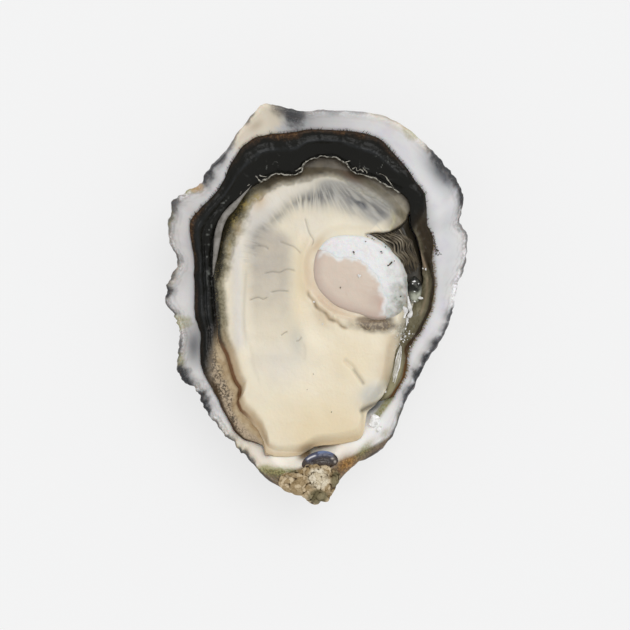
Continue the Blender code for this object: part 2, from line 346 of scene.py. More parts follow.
def new_grid(name, along, across):
    """A flat grid to shape, with each vertex's place along and across it from 0 to 1."""
    clear_selection()
    bpy.ops.mesh.primitive_grid_add(x_subdivisions=along, y_subdivisions=across, size=2)
    piece = named(name)
    u, v, _ = (places(piece) / 2 + 0.5).T
    return piece, u, v


def disc_grid(name, count):
    """A grid pressed into a round disc: bearing and share of the reach of each vertex."""
    piece, u, v = new_grid(name, count, count)
    a, b = 2 * u - 1, 2 * v - 1
    wide = np.abs(a) > np.abs(b)
    share = np.where(wide, np.abs(a), np.abs(b))
    ratio = np.where(wide, b / np.where(a == 0, 1, a), a / np.where(b == 0, 1, b))
    turn = np.where(wide, np.where(a > 0, 0, 180) + 45 * ratio, np.where(b > 0, 90, 270) - 45 * ratio)
    return piece, turn % TURN, share


def tube(name, path, halves, heights, sides):
    """A closed strip along a path of mm points, with its half widths and half heights."""
    count = len(path)
    piece, u, v = new_grid(name, count - 1, sides)
    k = np.rint(u * (count - 1)).astype(int)
    ahead = np.gradient(path, axis=0)
    ahead /= np.linalg.norm(ahead, axis=1)[:, None]
    left = np.stack([-ahead[:, 1], ahead[:, 0], np.zeros(count)], -1)
    left /= np.maximum(np.linalg.norm(left, axis=1), 1e-6)[:, None]
    up = np.cross(ahead, left)
    turn = 2 * math.pi * v
    halves, heights = (np.broadcast_to(size, count)[k] for size in (halves, heights))
    shape(piece, *(path[k] + left[k] * (halves * np.cos(turn))[:, None]
                   + up[k] * (heights * np.sin(turn))[:, None]).T)
    heal(piece)
    return piece


def joined(name, pieces):
    clear_selection()
    for piece in pieces:
        piece.select_set(True)
    bpy.context.view_layer.objects.active = pieces[0]
    bpy.ops.object.join()
    return named(name)


def copies(name, model, where):
    """Copies of one small model, each with its own mesh, put at their places and joined."""
    made = []
    for place in where:
        copy = model.copy()
        copy.data = model.data.copy()
        copy.data.transform(place)
        bpy.context.scene.collection.objects.link(copy)
        made.append(copy)
    bpy.data.objects.remove(model)
    piece = joined(name, made)
    bpy.ops.object.shade_smooth()
    return piece


def put(x, y, z, sizes, turn, lean=0.0):
    """Place of a copy: its mm place, three sizes, turn and lean in degrees."""
    spin = Matrix.Rotation(math.radians(turn), 4, "Z") @ Matrix.Rotation(math.radians(lean), 4, "Y")
    return (Matrix.Translation(Vector((x, y, z)) * MM) @ spin
            @ Matrix.Diagonal((*(s * MM for s in sizes), 1)))


def mark(piece, **masks):
    """Stores masks, cut to 0 and 1, on a piece's vertices for its finish to read."""
    for name, values in masks.items():
        layer = piece.data.attributes.new(name, "FLOAT", "POINT")
        values = np.broadcast_to(values, len(piece.data.vertices))
        layer.data.foreach_set("value", np.clip(values, 0, 1).astype(np.float32))


# ---------------------------------------------------------------- finishes
def tone(colour):
    """A colour for a socket from three numbers from 0 to 255, as the eye reads them."""
    shares = [c / 255 for c in colour]
    return (*(c / 12.92 if c <= 0.04045 else ((c + 0.055) / 1.055) ** 2.4 for c in shares), 1.0)


class Value:
    """A number in a finish, so that sums on it read as plain arithmetic."""

    def __init__(self, finish, socket):
        self.finish, self.socket = finish, socket

    def sum(self, kind, first, second):
        return self.finish.node("Math", {"operation": kind}, {0: first, 1: second})

    def __add__(self, other):
        return self.sum("ADD", self, other)

    def __mul__(self, other):
        return self.sum("MULTIPLY", self, other)

    def __pow__(self, other):
        return self.sum("POWER", self, other)

    def __radd__(self, other):
        return self.sum("ADD", other, self)

    def __rsub__(self, other):
        return self.sum("SUBTRACT", other, self)

    def __rmul__(self, other):
        return self.sum("MULTIPLY", other, self)


class Finish:
    """A material and the nodes that make it."""

    def __init__(self, name, roughness, specular, **settings):
        self.material = bpy.data.materials.new(name)
        self.material.use_nodes = True
        self.tree = self.material.node_tree
        self.shader = self.tree.nodes["Principled BSDF"]
        self.where = self.node("TexCoord", {}, {}, "Object")
        self.set("Roughness", roughness)
        self.set("Specular IOR Level", specular)
        for name, value in settings.items():
            self.set(name.replace("_", " "), value)

    def feed(self, socket, value):
        if isinstance(value, Value):
            self.tree.links.new(value.socket, socket)
        else:
            socket.default_value = value

    def set(self, name, value):
        self.feed(self.shader.inputs[name], value)

    def node(self, kind, settings, inputs, output=0):
        made = self.tree.nodes.new("ShaderNode" + kind)
        for key, value in settings.items():
            setattr(made, key, value)
        for key, value in inputs.items():
            self.feed(made.inputs[key], value)
        return Value(self, made.outputs[output])

    def mask(self, name):
        return self.node("Attribute", {"attribute_name": name}, {}, "Fac")

    def noise(self, size, detail):
        """Random clouds from 0 to 1; size is a lump's width in mm."""
        return self.node("TexNoise", {}, {"Vector": self.where, "Scale": 1 / (size * MM),
                                          "Detail": detail}, "Fac")

    def steps(self, value, low, high):
        """The value stretched so that low gives 0 and high gives 1, with soft ends."""
        return self.node("MapRange", {"interpolation_type": "SMOOTHSTEP"},
                         {"Value": value, "From Min": low, "From Max": high})

    def coat(self, colour, *layers):
        """A base colour under layers. Each is a mask's name, a value, or a value with its low and
        high steps, then what that is multiplied by, if anything, and the layer's colour."""
        for share, *factors, tint in layers:
            if isinstance(share, str):
                share = self.mask(share)
            elif isinstance(share, tuple):
                share = self.steps(*share)
            for factor in factors:
                share = share * factor
            under, over = (tone(c) if isinstance(c, tuple) else c for c in (colour, tint))
            colour = self.node("Mix", {"data_type": "RGBA"}, {0: share, 6: under, 7: over}, 2)
        return colour

    def paint(self, colour, *layers):
        self.set("Base Color", self.coat(colour, *layers))

    def relief(self, height, depth):
        """Fine relief that is depth mm deep."""
        self.set("Normal", self.node("Bump", {}, {"Height": height, "Distance": depth * MM,
                                                  "Strength": 1.0}, "Normal"))

    def on(self, piece):
        piece.data.materials.clear()
        piece.data.materials.append(self.material)


# ---------------------------------------------------------------- the shell
SHELL_AROUND = 760
INSIDE_ROW, OUTSIDE_ROW, FLAT_ROW, SHELL_ROWS = 46, 54, 114, 120    # where each stretch of rows ends
HIDDEN_ROWS = 8           # inside rows that the meat covers
HIDDEN_SHARE = 0.62
SHELVES = (0.10, 0.22, 0.36, 0.50, 0.66, 0.82, 1.0)    # growth shelves down the outside
RIM_STAINS = (            # bearing, half width in degrees, depth in mm, strength: slate-black
    (50, 4.5, 1.3, 0.95), (43, 4, 1.3, 0.9), (36, 3, 1.0, 0.9), (26, 7, 0.5, 0.6), (14, 3, 0.5, 0.6),
    (70, 4, 0.5, 0.25), (78, 3, 0.6, 0.35), (86, 4, 0.7, 0.3), (98, 4.5, 2.8, 0.8), (110, 2, 0.6, 0.7),
    (118, 4, 0.7, 0.6), (125, 4, 0.9, 0.85), (130.5, 2.6, 1.5, 1.0), (145.5, 2.4, 1.2, 0.7),
    (151, 3, 0.8, 0.6), (162, 3, 0.6, 0.6), (169, 2.5, 0.8, 0.7), (175, 3, 1.0, 0.9), (182, 3, 0.7, 0.7),
    (199, 4, 0.7, 0.6), (209, 4.5, 1.5, 1.0), (221.5, 4.5, 1.2, 1.0), (231, 2.5, 0.5, 0.6),
    (238, 3, 0.6, 0.7), (246, 4, 0.8, 0.9), (254, 3, 0.5, 0.6), (291, 4, 0.5, 0.6), (301, 4, 0.6, 0.7),
    (308, 4, 0.6, 0.8), (316, 5, 0.9, 1.0), (325.5, 4, 1.1, 1.0), (333, 4, 1.0, 1.0), (341, 4, 1.2, 1.0),
    (348.5, 3, 0.8, 0.9), (355, 3, 0.9, 0.8))
RIM_TINTS = {             # the same for the other rim colours
    "cream": ((109, 8, 8.0, 0.95), (66, 8, 1.4, 0.5), (57, 4, 1.2, 0.4), (170, 4, 1.2, 0.4)),
    "green": ((61, 2.5, 1.2, 0.6), (138, 2, 1.0, 0.7), (150, 3, 0.8, 0.5), (188, 3, 2.2, 0.7),
              (203, 3, 1.2, 0.7), (243, 3, 0.8, 0.5), (306, 3, 0.7, 0.4)),
    "ochre": ((136, 2, 1.4, 0.9), (66, 4, 0.5, 0.4), (206, 2, 0.6, 0.5))}
BEAK_LINE = Stroke((-16, -36.2), (-13, -36.9), (-9, -37.5), (-4.6, -37.5), (-2, -36.4), (2, -36.2),
                   (5.2, -35.6), (7.8, -34.6), (10.6, -33.0), (13.4, -31.7), (16.2, -29.9))
GOLD_STRIP = Stroke((17.4, -20.6), (16.6, -21.8), (15.6, -23.2), (14.6, -24.6), (13.6, -26.0))


def rim_marks(bearing, inward, entries, place, seed):
    """Strength of a rim colour: each patch lies along the edge and has a torn inner side."""
    torn = 0.45 * lumps(place, 1.3, seed) + 0.3 * lumps(place, 0.5, seed + 1)
    total = 0
    for middle, half, depth, strength in entries:
        here = lobe(bearing, middle, half)
        reach = depth * (0.5 + 0.9 * here) * (1 + torn)
        fading = smooth(here, 0.12, 0.5) * smooth(inward, 1.35 * reach, 0.35 * reach)
        total = np.maximum(total, strength * fading)
    return total


def rim_soot(bearing, inward):
    """The soft grey that spreads inwards from each dark patch."""
    return np.maximum.reduce([
        strength * lobe(bearing, middle, 1.3 * half) * smooth(inward, 0.8 + 2.2 * depth, 0)
        for middle, half, depth, strength in RIM_STAINS])


def make_shell():
    clear_selection()
    bpy.ops.mesh.primitive_uv_sphere_add(segments=SHELL_AROUND, ring_count=SHELL_ROWS, radius=1)
    piece = named("shell_body")
    ball = places(piece)
    bearing, _ = polar(*ball.T[:2])
    row = np.rint(np.arccos(np.clip(ball[:, 2], -1, 1)) / math.pi * SHELL_ROWS)
    ring = on_ring(bearing)

    # where each vertex is: share 0 to 1 on the inside, over the lip, then down the outside
    inside, outside = row <= INSIDE_ROW, row >= OUTSIDE_ROW
    seen = (row - HIDDEN_ROWS) / (INSIDE_ROW - HIDDEN_ROWS)
    share = np.where(row <= HIDDEN_ROWS, HIDDEN_SHARE * row / HIDDEN_ROWS,
                     HIDDEN_SHARE + (1 - HIDDEN_SHARE) * seen)
    over, down, flat = (
        np.clip((row - first) / (last - first), 0, 1) for first, last in (
            (INSIDE_ROW, OUTSIDE_ROW), (OUTSIDE_ROW, FLAT_ROW), (FLAT_ROW, SHELL_ROWS)))

    # the ragged rim: broad scallops come with the outline, fine teeth are cut here
    jagged = ragged(bearing)
    teeth = jagged * (0.42 * lumps(ring, 2.1, 1) + 0.34 * lumps(ring, 0.9, 2)
                      + 0.16 * lumps(ring, 0.45, 3))
    plain = read_round(RIM_PLAIN, bearing)
    rim = rim_reach(bearing)
    reach_in = share * (plain + (rim - plain) * share ** 3 - LIP)
    z_rim = inner_height(bearing, np.ones(len(bearing)))
    reach_lip = rim - LIP + (LIP + teeth * smooth(over, 0, 0.5)) * np.sin(over * math.pi / 2)
    z_lip = z_rim + 0.25 * np.sin(over * math.pi) - 0.9 * over ** 2

    # growth shelves: each starts wide and tucks in under the one above
    wander = down + 0.035 * lumps((*ring, down * 20), 7.0, 8) * smooth(down, 0, 0.1)
    shelf = sum((wander > low).astype(int) for low in SHELVES[:-1])
    start, end = np.array((0, *SHELVES[:-1]))[shelf], np.array(SHELVES)[shelf]
    tuck = np.clip((wander - start) / (end - start), 0, 1)
    frill = 0.5 + 0.5 * lumps((*ring, shelf * 9), 5.0, 9)
    broken = 0.6 + 0.4 * lumps((*ring, shelf * 5), 2.2, 10)
    ledge = (0.5 + 1.0 * frill) * broken * (1 - tuck) ** 1.5 * smooth(down, 1.0, 0.86)
    ledge = ledge * (1 - 0.7 * lobe(bearing, 256, 16) * smooth(down, 0.3, 0.1))
    share_out = 1 - (1 - REST_SPAN) * down
    reach_out = share_out * (plain + (rim - plain) * share_out ** 3) - 0.5 * (1 - down) + 0.2 * down
    climb = np.maximum(share_out - REST_SPAN, 0) / (1 - REST_SPAN)
    ridges = 0.5 * lumps((*ring, down * 4), 3.2, 11) * smooth(down, 0.02, 0.2)
    reach_out = reach_out + (ledge + ridges) * smooth(down, 1.0, 0.8) * 0.8 + teeth * smooth(down, 0.12, 0)
    z_out = z_rim * climb ** BOWL_POWER - 0.9 * (1 - down) ** 8 - 0.55 * ledge

    reach = np.where(inside, reach_in, np.where(outside, reach_out, reach_lip)) * (1 - flat)
    x, y = on_ring(bearing, reach)
    z = np.where(inside, inner_height(bearing, share), np.where(outside, z_out, z_lip))
    z = np.where(flat > 0, 0.15 * np.abs(lumps((x, y), 4.0, 12)), z)
    shape(piece, x, y, np.maximum(z, 0))

    inward = np.where(outside, 0, rim + teeth - reach)
    place = (x, y, z)
    tints = {name: rim_marks(bearing, inward, entries, place, 23) for name, entries in RIM_TINTS.items()}
    beak_gap, _, beak_side = BEAK_LINE.near(x, y)
    beak = smooth(-beak_side * beak_gap, -0.3, 0.5) * span(bearing, 244, 302, 8) * smooth(down, 0.35, 0.1)
    # The oval beside the hinge pit is painted shadow: the dark growth colour where the meat's foot shades
    # the shell.
    beak = np.maximum(beak, np.minimum(spots(x, y, (1.5, -2.4, -34.3, 1.7, 0.9, 32)), 1) * inside)
    moss = np.clip(spots(x, y, (1.3, -7.6, -38.0, 4.6, 0.9, -6), (1, -11.6, -37.1, 1.4, 0.7),
                         (0.9, 11.0, -32.8, 2.8, 0.9, 42), (0.6, 15.6, -29.2, 1.4, 0.8, 45)), 0, 1)
    # Grey stains near the rim. The last oval, under the end of the meat's lower lobe, is painted shadow.
    soot = spots(x, y, (0.8, -13.4, 39.6, 1.9, 0.8, 35), (0.8, -27.6, -9.6, 1.7, 4.2),
                 (0.95, 28.4, 29.4, 2.3, 5.2, 42), (0.8, 13.4, -23.6, 3.2, 0.9, 32))
    mark(piece,
         slate=rim_marks(bearing, inward, RIM_STAINS, place, 21)
         * smooth(down + 0.06 * lumps(ring, 1.6, 26), 0.11, 0.0),
         cream=np.maximum(tints["cream"], 0.75 * span(bearing, 236, 284, 14)) * smooth(down, 0.05, 0.0),
         green=np.maximum.reduce([tints["green"], moss, 1.8 * GOLD_STRIP.band(x, y, 0.62, 0.04)]),
         ochre=tints["ochre"], beak=beak,
         # amber: the first and last ovals are the shell's own colour. The second and third, along the
         # meat's foot above the hinge, are painted shadow.
         amber=spots(x, y, (1.2, 6.8, -36.0, 2.4, 1.5, 38), (0.5, -3.2, -33.6, 1.0, 0.8, 30),
                     (0.7, 3.5, -32.0, 4.0, 0.5, 12), (0.25, -13.4, 39.8, 1.7, 0.9, 35)),
         soot=np.clip(np.maximum(rim_soot(bearing, inward), soot), 0, 1) * (1 - beak),
         lines=jagged * smooth(inward, 3.6, 0.6) * smooth(inward, 0.0, 0.4)
         * smooth(np.sin(inward * 6 + 3 * lumps(place, 2.6, 25)), 0.1, 0.9),
         edge=smooth(inward, 1.9, 0.1) * np.minimum(1.3 * jagged, 1),
         outer=smooth(row, OUTSIDE_ROW - 2, OUTSIDE_ROW + 3), under=tuck * smooth(down, 0, 0.05),
         growth=0.5 + 0.5 * np.sin(wander * 120 + 3 * lumps(ring, 9.0, 13)),
         rays=0.5 + 0.5 * rough((*ring, down * 3), 3.0, 3, 14),
         # blue: a bluish tint of the nacre, and a painted wet sheen in the strip along the ledge above the
         # hinge.
         blue=0.2 * lobe(bearing, 30, 30) * hump(share, 0.93, 0.04) + 0.7 * lobe(bearing, 97, 12)
         + bands(x, y, (1.3, 0.45, 0.1, (0.2, -32.9), (2.6, -32.5), (4.8, -32.9))) * (share < 1),
         dim=lobes(bearing, (0.65, 200, 24), (0.85, 150, 34), (0.9, 93, 14), (0.25, 235, 18),
                   (0.3, 70, 14)))
    bpy.ops.object.shade_smooth()
    return piece


def shell_finish():
    nacre = Finish("pearly shell inside and chalky outside", 0.4, 0.45,
                   Subsurface_Weight=0.1, Subsurface_Scale=0.002)
    clouds, grain, fine = nacre.noise(5.0, 3), nacre.noise(0.5, 4), nacre.noise(0.16, 2)
    stain, outer, edge = nacre.mask("slate"), nacre.mask("outer"), nacre.mask("edge")
    # Part of the grey stain, blue and amber layers is painted shadow and painted sheen, as marked in
    # make_shell.
    rim = nacre.coat(
        (247, 247, 247), ((clouds, 0.48, 0.75), 0.5, (232, 228, 240)),
        ((clouds, 0.45, 0.2), 0.5, (241, 237, 229)), ("blue", 0.8, (190, 202, 212)),
        ("dim", 0.75, (188, 184, 181)), ("soot", 0.8 + 0.4 * clouds, (70, 73, 80)),
        ("lines", 0.45, (128, 124, 120)), (edge, nacre.steps(grain, 0.42, 0.56), 0.8, (126, 118, 106)),
        ("cream", 0.85, (226, 214, 190)), ("green", 0.4 + 0.9 * grain, (150, 146, 98)),
        ("ochre", 0.4 + 0.7 * grain, (172, 138, 92)), ("amber", 0.6 + 0.5 * grain, (140, 104, 52)))
    growth = nacre.coat(
        (104, 84, 54), ((grain, 0.42, 0.6), 0.8, (74, 58, 34)),
        ("green", nacre.coat((140, 136, 84), ((grain, 0.4, 0.6), (96, 92, 52)))),
        ("amber", nacre.coat((172, 130, 72), ((grain, 0.4, 0.6), (116, 84, 44)))))
    chalk = nacre.coat(
        (178, 170, 156), ((clouds, 0.4, 0.65), 0.6, (146, 134, 118)),
        ((nacre.mask("rays") + 0.4 * grain, 0.5, 0.95), 0.8, (84, 76, 80)),
        ("growth", 0.35, (118, 104, 86)), ("under", 0.35, (206, 202, 192)),
        ((grain, 0.55, 0.75), 0.55, (92, 82, 66)), ((fine, 0.6, 0.8), 0.4, (214, 208, 194)))
    nacre.paint(rim, (outer, chalk), ("beak", 0.95, growth),
                (stain, 0.97 - 0.35 * nacre.steps(grain, 0.52, 0.66), (38, 39, 43)),
                (stain ** 2, nacre.steps(fine, 0.6, 0.44), 0.9, (20, 20, 23)))
    nacre.set("Roughness", 0.2 + 0.4 * outer + 0.25 * edge + 0.08 * clouds)
    nacre.relief(grain * (0.1 + 0.9 * outer + 0.5 * edge) + 0.35 * fine * outer, 0.35)
    return nacre


# ---------------------------------------------------------------- the mantle band
BAND_FROM = 255.5         # bearing of the left end; the band runs clockwise from here
BAND_SWEEP = 317.5
BAND_MEAT_Z = 15.2        # height of its inner edge, before the folds
BAND_ALONG, BAND_TOP_ROWS, BAND_ROWS = 960, 52, 66
LIP_LINE = (              # the frilled lip between the band and the meat, from left to right
    (-12, 27.5), (-10.5, 28.5), (-9, 29.3), (-7, 29), (-5, 29), (-3.5, 29.7), (-2.7, 31.2),
    (-1.8, 32), (0.7, 33), (4.5, 32.8), (6.7, 31.5), (7.8, 30.3), (9, 29.4), (11, 29),
    (13.3, 28.2), (16, 26.6), (18.8, 25.1))
LOBE_EDGE = ((19.6, 24.7), (20.7, 23.6), (21.3, 22), (21.3, 20.6))    # round the lobe's tip
GILL_EDGE = ((21.5, 17.5), (22.8, 15), (23.8, 11), (24.2, 8.5), (23.9, 6), (23.2, 3.5))
LOW_SEAM = ((-22.4, -6), (-21.7, -9), (-20.2, -11.6), (-19.3, -14.5), (-18.3, -17.5), (-17.2, -19.2),
            (-17.4, -21), (-17.8, -22.5), (-17, -24.4), (-14.9, -26.2), (-13, -28.6), (-11.8, -31.2),
            (-11.2, -33.6), (-9.6, -34.3), (-6.4, -34.4), (-3.6, -34.1), (-2.0, -33.2), (-0.4, -32.2),
            (1.4, -31.9), (5, -31.6), (9.1, -30.8), (12, -28.9))
SEAM_LINE = Stroke(*LOW_SEAM[1:8])
UMBER_LINE = Stroke((24.4, 12.2), (25.5, 9.9), (26.6, 6.3), (26.8, 4.2), (26.4, 1.8), (26.0, -0.6),
                    (25.0, -3.4), (22.7, -7.6), (21.1, -9.5), (20.4, -10.9), (20.6, -12.3), (20.2, -14.3),
                    (19.7, -16.8), (18.5, -19), (16.9, -21.3), (15.7, -23.3))
LEFT_PAPILLAE = Stroke((-19, 24.5), (-22.5, 20.5), (-24.3, 16), (-24.6, 11), (-24.2, 6), (-23.4, 1),
                       (-22.8, -4))


def through(points, bearing, first, last):
    """Reach of a line of points at each bearing, and how fully the line counts there."""
    bearings, reaches = polar(*np.array(points, float).T)
    order = np.argsort(bearings)
    return (np.interp(np.asarray(bearing) % TURN, bearings[order], reaches[order]),
            span(bearing, first, last, 8))


def meat_edge(bearing):
    """Reach of the meat's outer edge: the seam at the lower left, the foot, the solid elsewhere."""
    line, share = through(LOW_SEAM, bearing, 197, 292)
    return (read_round(FLESH, bearing) - 1.1 * lobe(bearing, 324, 9)) * (1 - share) + line * share


def band_inner(bearing):
    """Reach of the band's inner edge: the frilled lip at the top, the meat's edge elsewhere."""
    line, share = through(LIP_LINE + LOBE_EDGE + GILL_EDGE, bearing, 13, 118)
    return line * share + (meat_edge(bearing) + 0.1) * (1 - share)


def band_outer(bearing):
    wobble = 0.18 * lumps(on_ring(bearing), 2.6, 30) + lobes(
        bearing, (1.1, 88, 20), (0.9, 48, 12), (0.4, 122, 8), (0.6, 146, 6), (0.55, 71, 9),
        (-0.6, 351, 8))
    return np.maximum(read_round(BAND_OUT, bearing) + wobble, band_inner(bearing) + 0.6)


def band_top(bearing, across, x, y):
    """Height of the band's upper side; across runs from 0 at the shell to 1 at the meat."""
    start = wall_height(*on_ring(bearing, band_outer(bearing))) + 0.45
    crest = 0.9 * np.sin(math.pi * across ** 0.8) ** 0.8
    left, top = span(bearing, 132, 205, 16), span(bearing, 62, 130, 14)
    low, right = span(bearing, 205, 251, 10), span(bearing, -62, 22, 10)
    folds = (top * humps(across, (0.32, 0.42, 0.06), (-0.3, 0.62, 0.2), (-0.25, 0.2, 0.08))
             + left * humps(across, (0.3, 0.33, 0.09), (-0.45, 0.52, 0.07), (-0.7, 0.88, 0.07),
                            (0.2, 0.97, 0.05))
             + low * (humps(across, (0.3, 0.12, 0.1), (-0.4, 0.95, 0.06))
                      + 0.2 * rough((x, y), 1.2, 2, 31) * hump(across, 0.45, 0.3))
             + right * (0.35 * hump(across, 0.16, 0.1) - 0.9 * smooth(across, 0.25, 0.6)))
    ripple = 0.14 * lumps((bearing * 0.35, across * 3), 1.0, 32) * smooth(across, 0, 0.2)
    end = BAND_MEAT_Z - 0.5 * right + 0.5 * top
    return start + (end - start) * across + crest + folds + ripple + 0.07 * rough((x, y), 1.1, 3, 33)


def make_band():
    piece, u, v = new_grid("mantle_band", BAND_ALONG, BAND_ROWS)
    bearing = BAND_FROM - BAND_SWEEP * u
    row = np.rint(v * BAND_ROWS)
    above = row <= BAND_TOP_ROWS
    across = np.where(above, row / BAND_TOP_ROWS, 1 - (row - BAND_TOP_ROWS) / (BAND_ROWS - BAND_TOP_ROWS))
    taper = smooth(u, 0, 0.012) * smooth(1 - u, 0, 0.042)
    outer, inner = band_outer(bearing), band_inner(bearing)
    x, y = on_ring(bearing, inner + (outer - inner) * (1 - across) * taper)
    top = band_top(bearing, across, x, y)
    floor = np.maximum(wall_height(x, y) + 0.02, top - 2.4)
    rolled = np.minimum(smooth(across, 0, 0.035), smooth(across, 1, 0.965))
    middle = np.maximum(top - 0.35, floor)
    z = middle + (np.where(above, np.maximum(top, floor + 0.02), floor) - middle) * rolled
    shape(piece, x, y, floor + (z - floor) * taper)

    wander = 0.06 * lumps((x, y), 2.2, 34) + 0.03 * lumps((x, y), 0.7, 35)
    leaning = bearing + 24 * (across - 0.5)
    black = np.maximum(span(bearing, 40 - 3 * across, 160, 3), span(leaning, 100, 206, 16))
    low, left = span(leaning, 205, 262, 16), span(bearing, 136, 206, 14)
    right, upper_right = span(bearing, -66, 38, 8), span(bearing, 17, 40, 8)
    edge = smooth(across + wander, 0.2 + 0.1 * lobe(bearing, 148, 6), 0.03)
    rust = lobes(bearing, (0.8, 96, 14), (0.4, 78, 9), (0.35, 157, 6), (1.3, 147.5, 5), (0.3, 180, 6),
                 (0.15, 66, 9), (0.4, 100, 8))
    squiggles = smooth(np.abs(lumps((x, y), 1.3, 39)), 0.09, 0.02)
    film = squiggles * smooth(lumps((x, y), 0.8, 40), -0.1, 0.3) * np.clip(spots(
        x, y, (1.6, 14.2, 30.6, 2.2, 2.6), (1, -12.2, 30.2, 2.6, 1.5), (0.6, -8.4, 32.0, 0.8, 1.2),
        (0.8, 10.8, 30.9, 1.0, 1.0), (1, 21.8, -4.2, 1.3, 3.6, -18)), 0, 1)
    dots = np.clip(lumps((x, y), 0.55, 36) * 1.6 - 0.3, 0, 1) * LEFT_PAPILLAE.band(x, y, 0.5, 0.1)
    narrow = smooth(bearing, 222, 244)
    mark(piece,
         black=0.99 * black, rust=edge * np.clip(0.12 + rust, 0, 1), fringe=edge,
         olive=right, lowland=low,
         sallow=right * smooth(swing(bearing, 0), -26, -42) * smooth(across, 0.25, 0.4),
         tan=low * smooth(across + wander, 0.42, 0.68),
         grit=low * smooth(across + 1.5 * wander, 0.86, 0.3) * smooth(bearing, 252, 226)
         + 0.6 * span(bearing, 184, 216, 14) * smooth(across, 0.3, 0.5)
         * smooth(lumps((x, y), 2.2, 63), -0.5, 0.5)
         + 0.3 * low * smooth(across + 1.5 * wander, 0.7, 0.2),
         umber=np.maximum.reduce([
             1.6 * UMBER_LINE.band(x, y, 0.66 - 0.38 * smooth(y, -7, -13), 0.03),
             1.4 * SEAM_LINE.band(x, y, 0.5, 0.15),
             0.97 * upper_right * smooth(across + wander, 1.3, 0.6),
             0.96 * low * smooth(across + wander, 0.3 - 0.1 * narrow, 0.1 - 0.04 * narrow),
             0.9 * low * smooth(across + 0.6 * wander, 0.9, 0.985) * smooth(bearing, 236, 228),
             0.5 * low * smooth(across + 0.5 * wander, 0.95, 0.99),
             0.6 * left * smooth(across + wander, 0.9, 1.0)]),
         gleam=bands(x, y, (1, 0.3, 0.12, (22.6, 14.2), (23.6, 11.4), (24.6, 9), (25.0, 7.2)),
                     (0.6, 0.3, 0.12, (25.3, 6.4), (25.2, 3.4), (24.6, 0.2), (23.4, -3.4))),
         # folds: pale streaks along the brown fold at the upper right, painted highlights.
         folds=upper_right * smooth(lumps((across * 9, bearing * 0.12), 1.0, 43), 0.0, 0.5),
         honey=lobe(bearing, -42, 14) + 0.9 * low * smooth(across, 0.5, 0.7) + 0.15 * low,
         # slate: painted sheen, slate-grey lines along the crests of the black band.
         slate=black * np.clip(
             0.6 * span(bearing, 62, 135, 20) * hump(across + 0.4 * wander, 0.4, 0.05)
             + 0.4 * span(bearing, 140, 200, 20) * hump(across + wander, 0.34, 0.1)
             + 0.4 * span(bearing, 160, 210, 20) * hump(across + wander, 0.6, 0.14), 0, 1),
         film=film + 0.7 * dots)
    heal(piece)
    return piece


def band_finish():
    wet = Finish("wet black mantle", 0.2, 0.14)
    grain, fine, clouds = wet.noise(0.5, 4), wet.noise(0.18, 3), wet.noise(2.4, 3)
    specks = wet.steps(grain * 0.6 + fine * 0.7, 0.62, 0.78)
    worms = wet.steps(fine * 0.35 + grain * 0.8, 0.5, 0.64)
    flesh = wet.coat((176, 158, 134), ((clouds, 0.4, 0.65), 0.6, (160, 142, 118)),
                     ("tan", wet.coat((184, 166, 136), ((clouds, 0.4, 0.65), (166, 144, 112)))))
    olive = wet.coat((112, 106, 84), ((clouds, 0.45, 0.7), 0.7, (140, 133, 110)),
                     (specks, 0.5, (78, 70, 50)), ("folds", (134, 120, 100)), ("sallow", (160, 154, 124)))
    # The slate layer is painted sheen. The folds and gleam layers are painted highlights.
    wet.paint((60, 56, 44), ("olive", olive), ("lowland", flesh),
              ("lowland", wet.mask("grit"), worms, wet.steps(clouds, 0.22, 0.48), 0.9, (64, 56, 44)),
              ("black", wet.coat((21, 21, 18), ("grit", worms, 0.8, (92, 87, 84)))),
              ("slate", 0.6, wet.steps(clouds, 0.2, 0.6), (56, 59, 62)),
              ("umber", 0.96, wet.coat((34, 24, 9), ("honey", (92, 58, 17)))),
              ("rust", 0.4 + 0.6 * grain, wet.coat((62, 40, 23), (specks, (122, 90, 58)))),
              ("gleam", 0.3 + 0.7 * grain, (168, 148, 124)), ("film", 0.6, (140, 142, 136)))
    wet.set("Roughness", 0.16 + 0.14 * grain + 0.3 * wet.mask("fringe"))
    wet.relief(clouds + 0.35 * grain, 0.2)
    return wet


# ---------------------------------------------------------------- the meat
MEAT_ROWS = 304
CREAM_EDGE = Stroke((17.2, 16.8), (18.0, 18.6), (17.4, 20.6), (15.6, 22.6), (13.1, 24.2), (9.9, 25.5),
                    (7.6, 26.8), (5.4, 28.4), (2.8, 29.0), (-0.4, 28.4), (-3.6, 27.4), (-7, 26.8),
                    (-10.3, 25.6), (-13.4, 23), (-15.8, 20.2), (-17.7, 17.8), (-18.7, 14.3), (-19.2, 9),
                    (-19.8, 1))
SMOKE_ARC = Stroke((-14.6, 8.5), (-13.8, 13), (-12.9, 15.9), (-10.3, 18.2), (-7.7, 20.3), (-5.8, 22.3),
                   (-2.6, 23.4), (0.6, 23.9), (2.8, 24.7), (6, 24.1), (9.2, 22.8), (12.4, 21.5),
                   (15.2, 20.2), (16.8, 18.4))
CRACKS = (
    ((-12, 6.6), (-10, 7.1), (-8.2, 7.0), (-6.4, 7.7), (-4.4, 7.2)),
    ((-10.4, 2.4), (-8.5, 2.8), (-6, 2.7)),
    ((-15.2, 0.6), (-13.2, 1.3), (-12, 0.9), (-10.8, 1.4)), ((-8.0, -7.4), (-7.2, -6.8), (-6.4, -6.4)),
    ((-4.6, -8.6), (-3.8, -8.4), (-3.2, -7.6)), ((-13.4, 13.0), (-11.8, 12.9), (-10.6, 12.2)),
    ((-8.4, 14.0), (-6.2, 13.2), (-4.8, 12.6), (-3.2, 11.0)),
    ((-2.6, 19.5), (-1.6, 16.0), (-0.6, 14.2), (-1.0, 12.6)))
